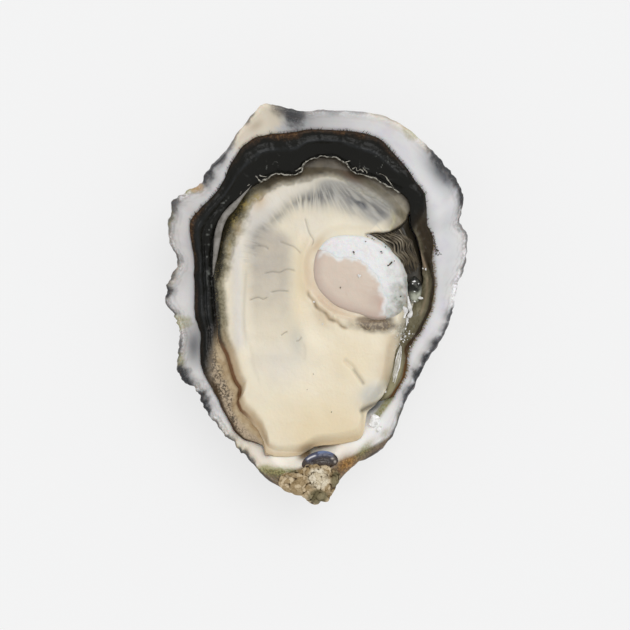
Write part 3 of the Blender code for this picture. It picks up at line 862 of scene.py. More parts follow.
MUSCLE_FOOT = Stroke((8.4, -3.7), (10.7, -3.6), (13.2, -3.7), (15.6, -3.6), (18.1, -4.0))
COLLAR_CREASE = Stroke((-1.9, 3.4), (-1.6, 1.6), (-0.5, 0.4), (0.2, -1.0), (2.0, -2.2), (3.0, -3.6),
                       (4.6, -4.2), (6.0, -5.4), (7.8, -5.9))
LOBE_UNDERSIDE = Stroke((9.5, 15.6), (11.7, 15.7), (13.5, 16.0), (15.6, 16.0), (17.6, 16.6),
                        (19.3, 17.7), (20.6, 19), (21.5, 20.6), (24, 22))
RIGHT_POOL = Stroke((21.7, -1), (20.7, -6), (19.4, -11), (18.2, -16), (16.4, -20.5))
FOOT_CREASE = ((9.6, -24.7), (12, -23.6), (14.2, -22.6), (16.5, -21))
MEAT_FOLDS = (            # height, half width, fade, then points of the long swells and dips
    (-0.12, 0.5, 0.12, (-15.6, 9), (-16.1, 2), (-16.2, -5), (-15.2, -10), (-14.4, -13)),
    (0.45, 2.6, 0.2, (-3.5, 19), (-4, 8), (-4, -4), (-0.5, -11), (4, -14)),
    (0.3, 1.6, 0.2, (-17, 17), (-18, 6), (-17.5, -8), (-15, -20)),
    *((-0.16, 0.28, 0.12, *line) for line in CRACKS),
    (-0.5, 0.5, 0.12, (6, -12.6), (7.2, -13.6), (8.3, -14.6), (9.2, -16), (10.2, -17.4), (11, -18.6)),
    (-0.9, 0.55, 0.12, *FOOT_CREASE),
    (0.42, 0.75, 0.4, (-0.9, 3.4), (0.0, 1.2), (1.5, -0.8), (3.2, -2.0), (4.6, -3.2), (5.8, -4.6)),
    (0.42, 0.55, 0.4, (3.2, -1.6), (5.0, -2.5), (7.0, -3.1), (8.9, -3.6), (10.8, -4.2)),
    (0.42, 0.4, 0.4, (3.9, -2.2), (4.2, -3.6), (4.0, -4.9)))


def muscle_reach(bearing):
    return read_round(MUSCLE_REACH, bearing)


def off_muscle(x, y):
    """Distance out from the muscle's edge, below 0 inside it, and the bearing round it."""
    bearing, distance = polar(x, y, MUSCLE_AT)
    return distance - muscle_reach(bearing), bearing


def gill_bed(x, y):
    """1 over the hollow beside the muscle where the gills lie."""
    gap, _, side = LOBE_UNDERSIDE.near(x, y)
    return (smooth(-side * gap, -0.25, 0.35) * smooth(off_muscle(x, y)[0], -0.4, 0.3)
            * smooth(x, 10.5, 12.5) * smooth(y, 1.5, 4.0))


def right_pool(x, y):
    """1 over the low strip at the right where liquor gathers."""
    return RIGHT_POOL.band(x, y, 1.15, 0.1)


def inside_cream(x, y):
    """1 within the cream body's outer edge, 0 on the thin skirt outside it."""
    gap, _, side = CREAM_EDGE.near(x, y)
    fray = 0.35 * lumps((x, y), 1.6, 46) + 0.2 * lumps((x, y), 0.6, 47)
    return np.maximum.reduce([smooth(side * gap + fray, -1.3, 1.2), smooth(y, -2, -8),
                              smooth(x, 19, 15) * smooth(y, 12, 8)])


def meat_height(x, y):
    bearing, distance = polar(x, y)
    creamy = inside_cream(x, y)
    out, turn = off_muscle(x, y)
    arc, arc_along, _ = SMOKE_ARC.near(x, y)
    z = (MEAT_TOP - 1.4 * smooth(meat_edge(bearing) - distance, 2.6, 0.0) - 0.7 * (1 - creamy)
         + 0.25 * hump(creamy, 0.8, 0.25) - 0.5 * box(x, y, (-15.4, -5.5), (-10, 20), 1.9)
         + bands(x, y, *MEAT_FOLDS)
         + spots(x, y, (0.3, -9, -16, 5.5, 6.5), (0.5, -2, -23, 11, 9), (0.35, 9, -14, 6, 6),
                 (0.5, 12.6, -20.6, 3.2, 1.9, 35))
         - 0.35 * hump(arc, 0, 1.8) * smooth(arc_along, 0, 0.1) - 3.4 * smooth(out, -0.9, -1.9)
         + 0.5 * hump(out, 1.9, 1.0) * np.clip(lobes(turn, (1, 235, 55), (0.6, 130, 60)), 0, 1)
         - 2.6 * gill_bed(x, y) - 1.6 * right_pool(x, y)
         - 0.4 * COLLAR_CREASE.band(x, y, 0.5) - 0.4 * MUSCLE_FOOT.band(x, y, 0.45, 0.2)
         + rough((x, y), 1.3, 2, 56) * spots(x, y, (0.15, 3.4, -2.6, 4.6, 2.4, -42)))
    return np.maximum(z, wall_height(x, y) + 0.2)


def fibre_place(x, y):
    """Across and along the fine fibres that fan over the top of the meat, in mm."""
    turn = np.where(x < -0.5, np.arctan2(x + 0.5, y - 9.0) * 13, np.arctan2(x + 0.5, 33.0 - y) * 11)
    return turn, np.where(x < -0.5, np.hypot(x + 0.5, y - 9.0), np.hypot(x + 0.5, y - 33.0))


def make_meat():
    piece, bearing, share = disc_grid("meat", MEAT_ROWS)
    edge, inner = meat_edge(bearing), band_inner(bearing)
    # at the top the meat's skirt reaches the frilled lip
    reach = (edge + 0.25) * share + (inner + 0.05 - edge) * share ** 6
    x, y = on_ring(bearing, reach)
    swell = 0.16 * lumps((x, y), 6.0, 40) + 0.06 * lumps((x, y), 2.6, 41)
    out, turn = off_muscle(x, y)
    arc, arc_along, arc_side = SMOKE_ARC.near(x, y)
    across, along = fibre_place(x, y)
    fibres = (lumps((across / 0.25, along / 2.2), 1.0, 42)
              + 0.6 * lumps((across / 0.6, along / 3), 1.0, 43))
    ends = smooth(arc_along, 0.0, 0.12) * smooth(arc_along, 1.0, 0.93)
    z = meat_height(x, y) + swell * smooth(share, 1.0, 0.9) + 0.05 * fibres * hump(arc, 0, 2.5) * ends
    shape(piece, x, y, z)

    creamy = inside_cream(x, y)
    cream_gap, _, cream_side = CREAM_EDGE.near(x, y)
    inset = inner - reach
    left, seam = span(bearing, 118, 208, 14), span(bearing, 203, 240, 14)
    corner = lobe(bearing, 138, 16)
    upper, plain = span(bearing, 126, 164, 10), span(bearing, 166, 206, 12)
    fray = 0.5 * lumps((x, y), 1.4, 48) + 0.35 * lumps((x, y), 0.5, 49)
    frayed = fray * (1 - 0.6 * plain)
    breadth = 1.3 + 1.3 * smooth(x, -8, 6)
    smoke = (hump(arc + 0.3 * fibres, 0, 0.9 * breadth) * smooth(fibres, -0.7, 0.9) * ends
             * (0.5 + 0.5 * smooth(x, -8, 0)) * (0.8 + 0.4 * lumps((x, y), 3.0, 55)))
    outside = smooth(arc_side * arc, 0.0, 1.6)
    foot_soil = 1 + 0.5 * lumps((x, y), 1.3, 45)
    mark(piece,
         milk=bands(x, y, (1, 1.5, 0.12, (-18.0, 14), (-17.9, 6), (-17.6, -4), (-17.4, -12)))
         + 0.7 * outside * creamy * smooth(x, 4, -4) * smooth(y, 8, 14)
         + spots(x, y, (0.6, -8, -14, 5.5, 4.5)) * smooth(y, -6, -10)
         + spots(x, y, (0.5, -1.5, 17.5, 4.5, 3.0), (0.7, -12.5, 20.5, 3.0, 2.4, 45)),
         panel=box(x, y, (-15.4, -6.0), (-14, 26), 1.9) * (0.25 + 0.75 * smooth(y, -9, 9))
         * smooth(y + 0.6 * x, 13.5, 9.5),
         smoke=smoke + spots(x, y, (0.35, 11.4, 22.2, 3.2, 0.9, -30)) * smooth(fibres, -1.2, 0.6),
         rimlight=hump(cream_side * cream_gap, 0.3, 0.4) * smooth(x, 2, 7) * smooth(y, 15, 18),
         haze=spots(x, y, (0.7, 4.5, 26.6, 5.5, 1.5, -8), (0.9, 14.2, 21.2, 3.6, 2.0, -40))
         + hump(arc, -0.2, breadth * 1.4) * ends * (0.4 + 0.6 * smooth(x, -6, 2)),
         honey=spots(x, y, (1, 2, -27, 11, 6), (0.8, -3.6, 4, 1.8, 11), (0.7, 4, -31, 9, 3),
                     (0.6, 8, -13, 6, 7)),
         skirt=(1 - creamy) * smooth(bearing, 128, 112) * smooth(y, 4, 14),
         taupe=(1 - creamy) * smooth(x, 9, 13) * smooth(y, 12, 16)
         + spots(x, y, (0.8, 17.4, 18.4, 2.4, 1.5, 40)),
         rosy=spots(x, y, (1, 8.2, 28.6, 2.6, 1.0, -35), (0.5, 13.2, 22.6, 2.5, 0.7, -35)),
         olive=left * smooth(inset + frayed, 3.3 + 1.6 * corner + 1.5 * upper,
                             1.0 + 1.0 * corner + 1.4 * upper + 0.4 * plain),
         moss=left * smooth(inset + 0.8 * frayed, 1.7 + 1.2 * corner + 1.5 * upper - 0.5 * plain,
                            0.3 + 1.3 * upper),
         gold=spots(x, y, (1, -16.2, 22.3, 1.4, 1.0, 50), (1, -13.4, 24.0, 1.2, 0.8, 40),
                    (0.7, -18.4, 18.5, 0.8, 1.8), (0.5, -19.6, 12.5, 0.6, 2.4)),
         tan=spots(x, y, (1, -12.6, 22.9, 1.4, 1.9, -30), (0.7, -17.6, 16.8, 0.9, 1.6),
                   (0.5, 1.2, -3.0, 2.4, 1.8, -45))
         + bands(x, y, (0.75, 2.0, 0.1, (17.6, -6.5), (16.9, -10), (16.3, -14), (15.4, -18)))
         + 0.8 * span(bearing, 196, 226, 18) * hump(inset, 1.2, 1.2),
         shade=0.6 * COLLAR_CREASE.band(x, y, 0.26, 0.1) * (0.7 + 0.6 * lumps((x, y), 1.0, 62))
         + smooth(inset, 1.5, 0.0) * smooth(y, 8, 20) * smooth(bearing, 120, 100)
         + 0.9 * MUSCLE_FOOT.band(x, y, 0.55, 0.15) + spots(x, y, (0.8, -1.8, -33.2, 2.0, 0.8, 28))
         + bands(x, y, (0.9, 0.5, 0.12, *FOOT_CREASE),
                 (0.4, 0.3, 0.12, (8.2, -14.6), (9.2, -16), (10.2, -17.4), (11, -18.6)),
                 (0.5, 0.4, 0.3, (10.6, 15.2), (13, 15.6), (16, 15.4))),
         line=bands(x, y, *((1, 0.13, 0.12, *line) for line in CRACKS),
                    (0.35, 0.35, 0.2, (-15.6, 9), (-16.1, 2), (-16.2, -5), (-15.4, -10)),
                    (0.21, 0.3, 0.2, (-3.0, -8.6), (-2.4, -10.5), (-2.6, -13.4)),
                    (0.175, 0.4, 0.3, (-13.6, -10.5), (-14.4, -13), (-13.0, -17), (-12.2, -20))),
         amber=np.maximum(seam * smooth(inset + 0.15 * fray, 0.85, 0.35),
                          1.3 * SEAM_LINE.band(x, y, 0.42, 0.15)),
         # Mostly painted warm shade: in the collar crease, along the lower left and bottom edges, beside
         # the hinge and round the muscle's upper left. The oval below the collar is the meat's own tan.
         warm=span(bearing, 203, 252, 14) * smooth(inset, 3.4, 0.4)
         + COLLAR_CREASE.band(x, y, 0.45) * (0.8 + 0.8 * lumps((x, y), 1.2, 57))
         + 0.9 * span(bearing, 252, 290, 10) * smooth(inset, 1.8, 0.0)
         + spots(x, y, (0.35, 1.6, -3.4, 3.2, 2.0, -42), (1.2, -2.4, -33.4, 1.6, 1.6, 30),
                 (0.5, -2.2, 8, 1.2, 6), (0.9, 0.3, 13.0, 1.0, 2.4, -38)),
         mud=spots(x, y, (1.9, 13.6, -4.9, 4.6, 1.5, -2)) * foot_soil - 0.15,
         blue=spots(x, y, (1.3, 12.8, -20.4, 3.2, 2.2, 35), (0.7, -4.2, -8.6, 1.7, 4.0)),
         froth=spots(x, y, (1, 21.2, 1.2, 1.5, 3.4), (0.8, 19.6, -6.4, 1.6, 2.2)),
         # bed: painted shade, near black, in the hollow under the gill pleats.
         collar=hump(out, 0.3, 1.3) * lobe(turn, 220, 55), bed=gill_bed(x, y), pool=right_pool(x, y),
         fibres=0.5 + 0.3 * fibres * hump(arc, 1.0, 4.0))
    close_below(piece, MEAT_FLOOR)
    return piece


def meat_finish():
    cream = Finish("plump cream meat", 0.3, 0.35, Subsurface_Weight=0.25, Subsurface_Scale=0.0016,
                   Subsurface_Radius=(1.0, 0.7, 0.45))
    clouds, grain, fine = cream.noise(3.2, 3), cream.noise(0.6, 4), cream.noise(0.22, 3)
    froth = cream.coat((120, 116, 98), ((fine * 0.5 + grain * 0.5, 0.42, 0.58), (196, 194, 182)))
    mud = cream.coat((150, 135, 108), ((grain, 0.36, 0.56), (82, 68, 50)),
                     ((fine, 0.5, 0.66), 0.4, (84, 70, 52)))
    cream.paint(
        (229, 219, 196), ((clouds, 0.45, 0.75), 0.35, (219, 209, 188)), ("honey", 0.75, (222, 204, 168)),
        ("panel", 0.85, cream.coat((184, 175, 161), ((clouds, 0.35, 0.65), (176, 168, 157)))),
        ("milk", 0.85, (212, 207, 199)),
        ("skirt", 0.95, cream.coat((84, 74, 56), ((clouds, 0.4, 0.65), (58, 50, 37)))),
        ("taupe", 0.9, cream.coat((142, 133, 112), ((clouds, 0.4, 0.65), (110, 102, 82)))),
        ("rimlight", 0.6, (196, 188, 148)), ("rosy", 0.7, (112, 86, 66)), ("haze", 0.9, (158, 156, 150)),
        ("smoke", 0.97, (64, 66, 71)), ((cream.mask("fibres"), 0.62, 0.8), 0.3, (176, 174, 168)),
        ("blue", 0.7, (186, 187, 182)), ("warm", 0.55, (180, 146, 98)),
        ("olive", 0.9, cream.coat((144, 136, 110), ((grain, 0.42, 0.6), (106, 98, 70)))),
        ("tan", 0.7, (196, 174, 142)),
        ("moss", 0.97, cream.coat((30, 28, 20), ((fine, 0.56, 0.66), 0.9, (116, 104, 66)))),
        ("gold", cream.steps(grain, 0.35, 0.6), 0.9, (168, 150, 92)), ("mud", 0.95, mud),
        ("shade", 0.8, (70, 60, 46)), ("amber", 0.95, (98, 58, 14)), ("line", 0.5, (120, 112, 96)),
        ("collar", 0.8, (204, 178, 150)), ("pool", 0.75, (148, 138, 114)), ("froth", 0.95, froth),
        ("bed", 0.96, (54, 48, 37)))
    cream.set("Roughness", 0.26 + 0.14 * grain)
    cream.relief(grain * 0.35 + clouds * 1.2 + 0.1 * fine, 0.14)
    return cream


# ---------------------------------------------------------------- the muscle
WHITE_ROWS, PINK_ROWS, WALK_STEPS = 150, 130, 18
MUSCLE_TOP = 17.2
MEAT_FLOOR, WHITE_FLOOR, PINK_FLOOR = 13.0, 14.0, 14.6    # where the pieces end inside the food


def muscle_height(x, y):
    out, _ = off_muscle(x, y)
    return MUSCLE_TOP - 0.6 * np.clip(1 + out / 10, 0, 1.1) ** 2 - 1.2 * smooth(out, -1.5, 0.4) ** 2


def make_muscle():
    """The white catch muscle, and the pink quick muscle that fills its hollow arc."""
    white, bearing, share = disc_grid("catch_meat", WHITE_ROWS)
    frayed = 0.14 * lumps(on_ring(bearing, 9), 0.8, 50)
    x, y = on_ring(bearing, (muscle_reach(bearing) + 0.3 + frayed) * share, MUSCLE_AT)
    shape(white, x, y, muscle_height(x, y) + 0.06 * rough((x, y), 1.6, 3, 51))
    mark(white, glass=0.5 + 0.8 * rough((x, y), 2.4, 3, 52), rim=smooth(share, 0.93, 1.0),
         grey=lobe(bearing, 330, 38) * smooth(share, 0.5, 0.85) * (0.9 + 0.5 * lumps((x, y), 1.4, 58)))
    close_below(white, WHITE_FLOOR)

    pink, bearing, share = disc_grid("quick_meat", PINK_ROWS)
    far = np.full(bearing.shape, QUICK_REACH + 2.7)
    for _ in range(WALK_STEPS):   # walk in from outside until inside both outlines
        x, y = on_ring(bearing, far, QUICK_MIDDLE)
        turned, distance = polar(x, y, QUICK_AT)
        arc = QUICK_REACH + 1.9 * lobe(turned, 108, 14)
        beyond = np.maximum(off_muscle(x, y)[0] - 0.2, distance - arc)
        far = far - 0.8 * np.maximum(beyond, 0)
    frayed = (0.35 * rough((x, y), 2.2, 3, 53)
              + spots(x, y, (-0.9, 4.4, 11.2, 1.9, 1.2), (0.7, 14.4, 7.4, 1.3, 1.3)))
    frayed = frayed * smooth(off_muscle(x, y)[0], -0.6, -1.6)
    x, y = on_ring(bearing, (far + frayed) * share, QUICK_MIDDLE)
    out, _ = off_muscle(x, y)
    dip = 0.3 * smooth(out, -0.4, -1.2) * smooth(share, 0.95, 1.0)
    shape(pink, x, y, muscle_height(x, y) + 0.16 - dip + 0.03 * lumps((x, y), 1.0, 54))
    wavy = share + 0.05 * rough((x, y), 1.8, 3, 61)
    mark(pink, seam=smooth(wavy, 0.84, 0.97) * smooth(out, -0.5, -2.0),
         # The pink darkens to lilac-grey towards its edge, which is painted shade. One patch at its lower
         # right is lilac-grey too.
         lilac=smooth(out, -3.4, -0.2) + spots(x, y, (0.8, 14.6, 1, 2.4, 3)),
         blush=spots(x, y, (1, 15.4, -0.6, 1.1, 1.3, 20)))
    close_below(pink, PINK_FLOOR)
    return white, pink


def muscle_finishes():
    white = Finish("white catch muscle", 0.3, 0.4, Subsurface_Weight=0.3, Subsurface_Scale=0.0015)
    clouds, grain = white.noise(1.3, 4), white.noise(0.3, 3)
    white.paint((226, 225, 224), ("glass", white.steps(clouds, 0.4, 0.65), 0.45, (208, 208, 206)),
                ("grey", 0.9, white.coat((180, 180, 171), ((clouds, 0.42, 0.62), (138, 138, 126)))),
                ("rim", 0.35, (190, 184, 170)))
    white.relief(clouds + 0.4 * grain, 0.2)
    pink = Finish("pink quick muscle", 0.3, 0.4, Subsurface_Weight=0.3, Subsurface_Scale=0.0018,
                  Subsurface_Radius=(1.0, 0.6, 0.5))
    clouds, grain = pink.noise(3.0, 3), pink.noise(0.35, 3)
    pink.paint((210, 194, 178), ((clouds, 0.4, 0.7), 0.4, (204, 190, 176)),
               ("lilac", 0.85, (184, 164, 151)), ("blush", 0.6, (200, 150, 132)),
               ("seam", 0.85 + 0.15 * grain, (223, 222, 220)))
    pink.relief(clouds + 0.3 * grain, 0.12)
    return white, pink


# ---------------------------------------------------------------- frills, hairs and gills
FRILLS = (                # half width, height over the band, seed, then points of each thread
    (0.15, 0.9, 60, (-14.2, 29.3), (-13.2, 28.2), *LIP_LINE),
    (0.13, 0.9, 61, (-4.9, 30.0), (-4.0, 30.4), (-3.2, 30.9), (-2.2, 32.2)),
    (0.1, 0.7, 62, (6.8, 32.0), (8.2, 32.4), (9.6, 31.6), (11.0, 30.4), (11.4, 29.2)),
    (0.12, 0.9, 63, (8.2, 30.4), (8.8, 30.6), (9.2, 29.8), (10.0, 30.2), (10.8, 29.6)),
    (0.09, 0.8, 64, (14.4, 29.2), (15.3, 28.9), (16.6, 27.4), (17.6, 26.0)),
    (0.1, 0.8, 65, (-15.6, 30.6), (-14.4, 29.8), (-12.8, 29.0), (-11.4, 28.6)),
    (0.09, 0.5, 68, (-13.4, 28.2), (-14.6, 27.3), (-15.9, 26.1), (-17.3, 24.7)),
    (0.07, 0.9, 69, (-12.2, 32.3), (-12.1, 31.4), (-11.2, 30.7)),
    (0.07, 0.9, 70, (-14.2, 31.6), (-13.9, 30.6), (-12.9, 29.6)))
SILVER_FOLD = Stroke((-14.6, 26.6), (-16.4, 24.6), (-18.6, 22.0), (-20.6, 19.8), (-21.8, 17.2),
                     (-22.4, 14.3), (-22.7, 11.8), (-23.1, 9.0), (-23.4, 6.0))
SILVER_STEPS = 120
FRILL_Z, SILVER_Z, GILL_Z = 15.6, 15.55, 14.8
HAIR_SPACING = 0.62       # degrees
PLEATS, PLEAT_STEPS = 17, 40
GILL_ROOTS = Stroke((11.9, 15.5), (13.6, 15.8), (15.8, 16.0), (17.6, 16.3), (19.2, 16.8))
GILL_MIDDLES = Stroke((17.7, 13.8), (18.9, 13.8), (20.0, 13.6), (21.4, 13.0), (22.7, 12.2))
GILL_TIPS = Stroke((19.7, 7.4), (20.6, 7.0), (21.6, 6.8), (22.7, 7.4), (23.6, 8.8))


def make_lip():
    """The white frilled lip at the top of the meat, with a second strand at its right."""
    parts = []
    for half, lift, seed, *points in FRILLS:
        line = Stroke(*points)
        path = line.points(max(int(line.run[-1] * 4), 12)).T
        x, y = (path[k] + 0.24 * lumps(path, 0.8, seed + 7 * k) for k in (0, 1))
        z = FRILL_Z + lift + 0.25 * lumps((x, y), 1.5, seed)
        halves = half * (0.8 + 0.55 * lumps((x, y), 0.7, seed + 1)) + 0.03
        parts.append(tube("lip", np.stack([x, y, z], -1), halves, halves * 1.4, 8))
    return joined("mantle_lip", parts)


def make_silver_fold():
    x, y = SILVER_FOLD.points(SILVER_STEPS).T
    along = np.linspace(0, 1, SILVER_STEPS)
    thin = np.sin(math.pi * np.clip(along, 0.02, 0.98)) ** 0.75
    halves = 0.9 * thin * (0.85 + 0.2 * lumps((x, y), 3, 66))
    z = SILVER_Z + 0.2 * lumps((x, y), 4, 67) - 0.5 * smooth(along, 0.7, 1.0)
    return tube("silver_fold", np.stack([x, y, z], -1), halves, 0.5, 16)


def make_fringe():
    """Fine hairs along the band's outer edge, thicker and browner at the right."""
    chance = np.random.default_rng(7)
    clear_selection()
    bpy.ops.mesh.primitive_cone_add(vertices=5, radius1=1, radius2=0.25, depth=1, location=(0.5, 0, 0),
                                    rotation=(0, math.pi / 2, 0), end_fill_type="NOTHING")
    hair = named("mantle_fringe")
    bpy.ops.object.transform_apply(location=True, rotation=True, scale=True)
    roots = []
    for bearing in np.arange(-46, 148, HAIR_SPACING):
        bearing = bearing + chance.uniform(-0.3, 0.3)
        right = bearing < 27
        if not right and chance.random() < 0.35:
            continue
        x, y = on_ring(bearing, band_outer(np.array([bearing]))[0] - 0.2)
        length = chance.uniform(0.5, 1.25) * (1.0 if right else 0.8)
        roots.append(put(x, y, wall_at(x, y) + 0.7, (length, 0.09, 0.09),
                         bearing + chance.uniform(-40, 40), chance.uniform(-45, -15)))
    return copies("mantle_fringe", hair, roots)


def make_gills():
    """Fine pleats that fan out from the muscle into the dark hollow beside it."""
    pleats = []
    t = np.linspace(0, 1, PLEAT_STEPS)
    arch = np.sin(math.pi * t)
    lines = zip(*(line.points(PLEATS)[:, :, None] for line in (GILL_ROOTS, GILL_MIDDLES, GILL_TIPS)))
    for k, (root, middle, tip) in enumerate(lines):
        path = (1 - t) ** 2 * root + 2 * t * (1 - t) * middle + t ** 2 * tip
        path += 0.2 * np.stack([lumps(path, 1.3, 70 + j + 2 * k) for j in (0, 1)])
        path += 0.75 * np.stack([lumps(path, 2.2, 110 + j) for j in (0, 1)]) * arch
        z = GILL_Z + 0.5 * arch + 0.2 * lumps(path, 1.0, 72) + 0.25 * (k % 2)
        halves = 0.07 + 0.09 * arch + 0.06 * lumps(path, 1.2, 73 + k)
        pleat = tube("pleat", np.stack([*path, z], -1), np.maximum(halves, 0.05), 0.3, 8)
        x, y, _ = places(pleat).T / MM
        mark(pleat, pale=((k % 2) * 0.6 + 0.4 * (k % 3 == 0)) * smooth(x - 0.5 * y, 16.5, 11.5)
             * (0.7 + 0.6 * lumps((x, y), 1.6, 112)))
        pleats.append(pleat)
    return joined("gill_pleats", pleats)


def small_finishes():
    lip = Finish("frilled white lip", 0.25, 0.5, Transmission_Weight=0.15)
    lip.paint((84, 80, 70), ((lip.noise(0.7, 3), 0.38, 0.6), (172, 168, 156)))
    silver = Finish("silver grey fold", 0.28, 0.35)
    silver.paint((138, 134, 128), ((silver.noise(1.6, 3), 0.4, 0.65), (110, 106, 99)),
                 ((silver.noise(0.4, 2), 0.6, 0.75), 0.3, (146, 142, 135)))
    silver.relief(silver.noise(0.5, 3), 0.12)
    hair = Finish("brown mantle fringe", 0.4, 0.2)
    across = hair.node("SeparateXYZ", {}, {0: hair.where}, "Y")
    hair.paint((44, 36, 24), ((across, 0.016, 0.012), (146, 128, 88)))
    gill = Finish("pleated gills", 0.3, 0.35)
    gill.paint((104, 93, 74), ((gill.noise(1.6, 3), 0.35, 0.65), (66, 57, 43)),
               ("pale", 0.5 + 0.4 * gill.noise(0.9, 2), (182, 172, 152)))
    gill.relief(gill.noise(0.3, 3), 0.12)
    return lip, silver, hair, gill


# ---------------------------------------------------------------- hinge and crust
CUSHION_ROWS, CRUST_ROWS = 110, 210
CUSHION_AT = (0.9, -35.5)
CUSHION_HALVES = (4.1, 2.1)
CUSHION_Z, CUSHION_FLOOR = 16.4, 15.6
CRUST_AT = (-0.9, -40.3)
CRUST_REACH = (5.8, 5.9, 4.2, 3.6, 3.5, 4.5, 7.5, 4.9, 3.7, 5.0, 5.2, 5.4)
TURN_FROM = 0.7           # share of the crust's reach where it starts to turn down
CRUST_UNDER_Z = 12.8      # where it closes against the underside of the beak
STONE = 0.85


def make_ligament():
    piece, bearing, share = disc_grid("hinge_cushion", CUSHION_ROWS)
    across, up = on_ring(bearing, share)
    across = CUSHION_HALVES[0] * across
    x = CUSHION_AT[0] + across
    y = CUSHION_AT[1] + CUSHION_HALVES[1] * up + 0.12 * across - 0.03 * across ** 2
    z = CUSHION_Z + 0.75 * (1 - share ** 2) ** 0.7 + 0.06 * rough((x, y), 1.4, 3, 80)
    shape(piece, x, y, z + bands(x, y, (-0.3, 0.5, 0.12, (-1.2, -36.2), (1.0, -35.2), (3.6, -35.4))))
    # Painted reflections and highlights on the glossy ligament: a blue-violet crescent, a pale blue band
    # along its top, a white arc (arc) and two small glints.
    mark(piece, low=smooth(y, -35.6, -36.6),
         violet=bands(x, y, (1, 0.75, 0.08, (-2.6, -35.5), (-1.5, -34.9), (0.0, -34.2), (2.2, -33.9),
                             (4.2, -34.3))),
         blue=bands(x, y, (1, 0.32, 0.1, (0.2, -33.8), (2.4, -33.5), (4.2, -33.9))),
         arc=bands(x, y, (1, 0.16, 0.2, (-2.2, -35.5), (-1.1, -34.8), (0.2, -34.3))),
         glint=spots(x, y, (1, 3.7, -35.1, 0.35, 0.2), (1, 4.3, -35.8, 0.25, 0.3)))
    close_below(piece, CUSHION_FLOOR)
    return piece


def ligament_finish():
    dark = Finish("dark hinge ligament", 0.15, 0.5)
    grain = dark.noise(0.5, 3)
    # The violet, blue, arc and glint layers are painted reflections and highlights.
    dark.paint((50, 42, 39), ((grain, 0.45, 0.65), 0.7, (76, 64, 53)), ("low", 0.7, (66, 52, 40)),
               ("violet", 0.95, (66, 71, 96)), ("blue", 0.95, (104, 120, 158)),
               ("arc", 0.9, (226, 224, 226)), ("glint", 0.8, (200, 190, 180)))
    dark.relief(grain, 0.15)
    return dark


def cobbles(x, y, size, seed):
    """Packed rounded stones: height from 0 in the cracks, and a shade of its own for each."""
    chance = np.random.default_rng(seed)
    tall, shade = np.zeros(x.shape), np.zeros(x.shape)
    for middle_x, middle_y in itertools.product(np.arange(x.min() - size, x.max() + size, size),
                                                np.arange(y.min() - size, y.max() + size, size)):
        at_x = middle_x + chance.uniform(-0.5, 0.5) * size
        at_y = middle_y + chance.uniform(-0.5, 0.5) * size
        half, squash = size * chance.uniform(0.5, 1.1), chance.uniform(0.7, 1.3)
        gap = np.hypot((x - at_x) * squash, (y - at_y) / squash) / half
        lift = half * np.sqrt(np.clip(1 - gap ** 2, 0, 1)) * chance.uniform(0.7, 1.1)
        shade = np.where(lift > tall, chance.random(), shade)
        tall = np.maximum(tall, lift)
    return tall, shade


def make_crust():
    """Old shell and growth, packed in lumps over the beak."""
    piece, bearing, share = disc_grid("beak_crust", CRUST_ROWS)
    whole = read_round(CRUST_REACH, bearing) + 0.5 * lumps(on_ring(bearing, 5), 1.0, 83)
    # the outer rows turn down and tuck in under the beak, and the lumps carry on down the side
    flat = np.minimum(share / TURN_FROM, 1)
    turned = np.clip((share - TURN_FROM) / (1 - TURN_FROM), 0, 1)
    unrolled = on_ring(bearing, whole * flat + 4.2 * turned, CRUST_AT)
    warped = (unrolled[k] + 0.3 * rough(unrolled, 1.0, 2, 84 + 2 * k) for k in (0, 1))
    tall, shade = cobbles(*warped, STONE, 12)
    edge = on_ring(bearing, whole * flat, CRUST_AT)
    around, distance = polar(*edge)
    ground = wall_height(*edge) - 1.8 * smooth(distance - rim_reach(around), -0.6, 1.0)
    reach = (whole * flat * (1 - turned ** 3)
             + (0.8 * tall - 0.3) * smooth(turned, 0, 0.3) * smooth(turned, 1.0, 0.7))
    x, y = on_ring(bearing, reach, CRUST_AT)
    y = y + 2.0 * turned ** 2
    fine = 0.1 * rough((x, y), 0.4, 2, 88)
    z = (ground + (0.2 + 1.3 * tall + fine) * smooth(turned, 0.5, 0.0)
         - 3.2 * np.sin(turned * math.pi / 2) + spots(x, y, (0.5, 0.6, -39.2, 3, 2.4)) * (1 - turned))
    shape(piece, x, y, z + (CRUST_UNDER_Z - z) * turned ** 4)
    olive = spots(x, y, (1, 0.4, -43.6, 2.4, 1.8), (0.9, 4.6, -39.8, 1.5, 2.2),
                  (0.8, -6.4, -37.8, 3.0, 0.6, -6))
    # Painted shade, darker towards the cracks between the stones.
    mark(piece, crack=smooth(tall + 0.15 * lumps((x, y), 0.5, 89), 0.5, 0.05), shade=shade,
         cream=smooth(spots(x, y, (1, 0.5, -39.5, 2.7, 2.6)), 0.3, 0.6), olive=smooth(olive, 0.25, 0.6))
    heal(piece)
    return piece


def crust_finish():
    crust = Finish("crust of old shell", 0.75, 0.25)
    grain, fine = crust.noise(0.6, 4), crust.noise(0.2, 4)
    shade = crust.mask("shade") ** 1.4
    sand, pale, olive = (crust.coat(low, (shade, high)) for low, high in (
        ((150, 127, 90), (220, 202, 170)), ((206, 192, 164), (238, 229, 208)),
        ((100, 92, 65), (148, 137, 106))))
    crust.paint(sand, ("cream", pale), ("olive", olive), ((grain, 0.55, 0.68), 0.5, (112, 94, 64)),
                # the last layer is painted shade in the cracks
                ((fine, 0.6, 0.7), 0.5, (84, 66, 42)), ("crack", 0.85, (86, 68, 44)))
    crust.relief(grain + 0.6 * fine, 0.2)
    return crust


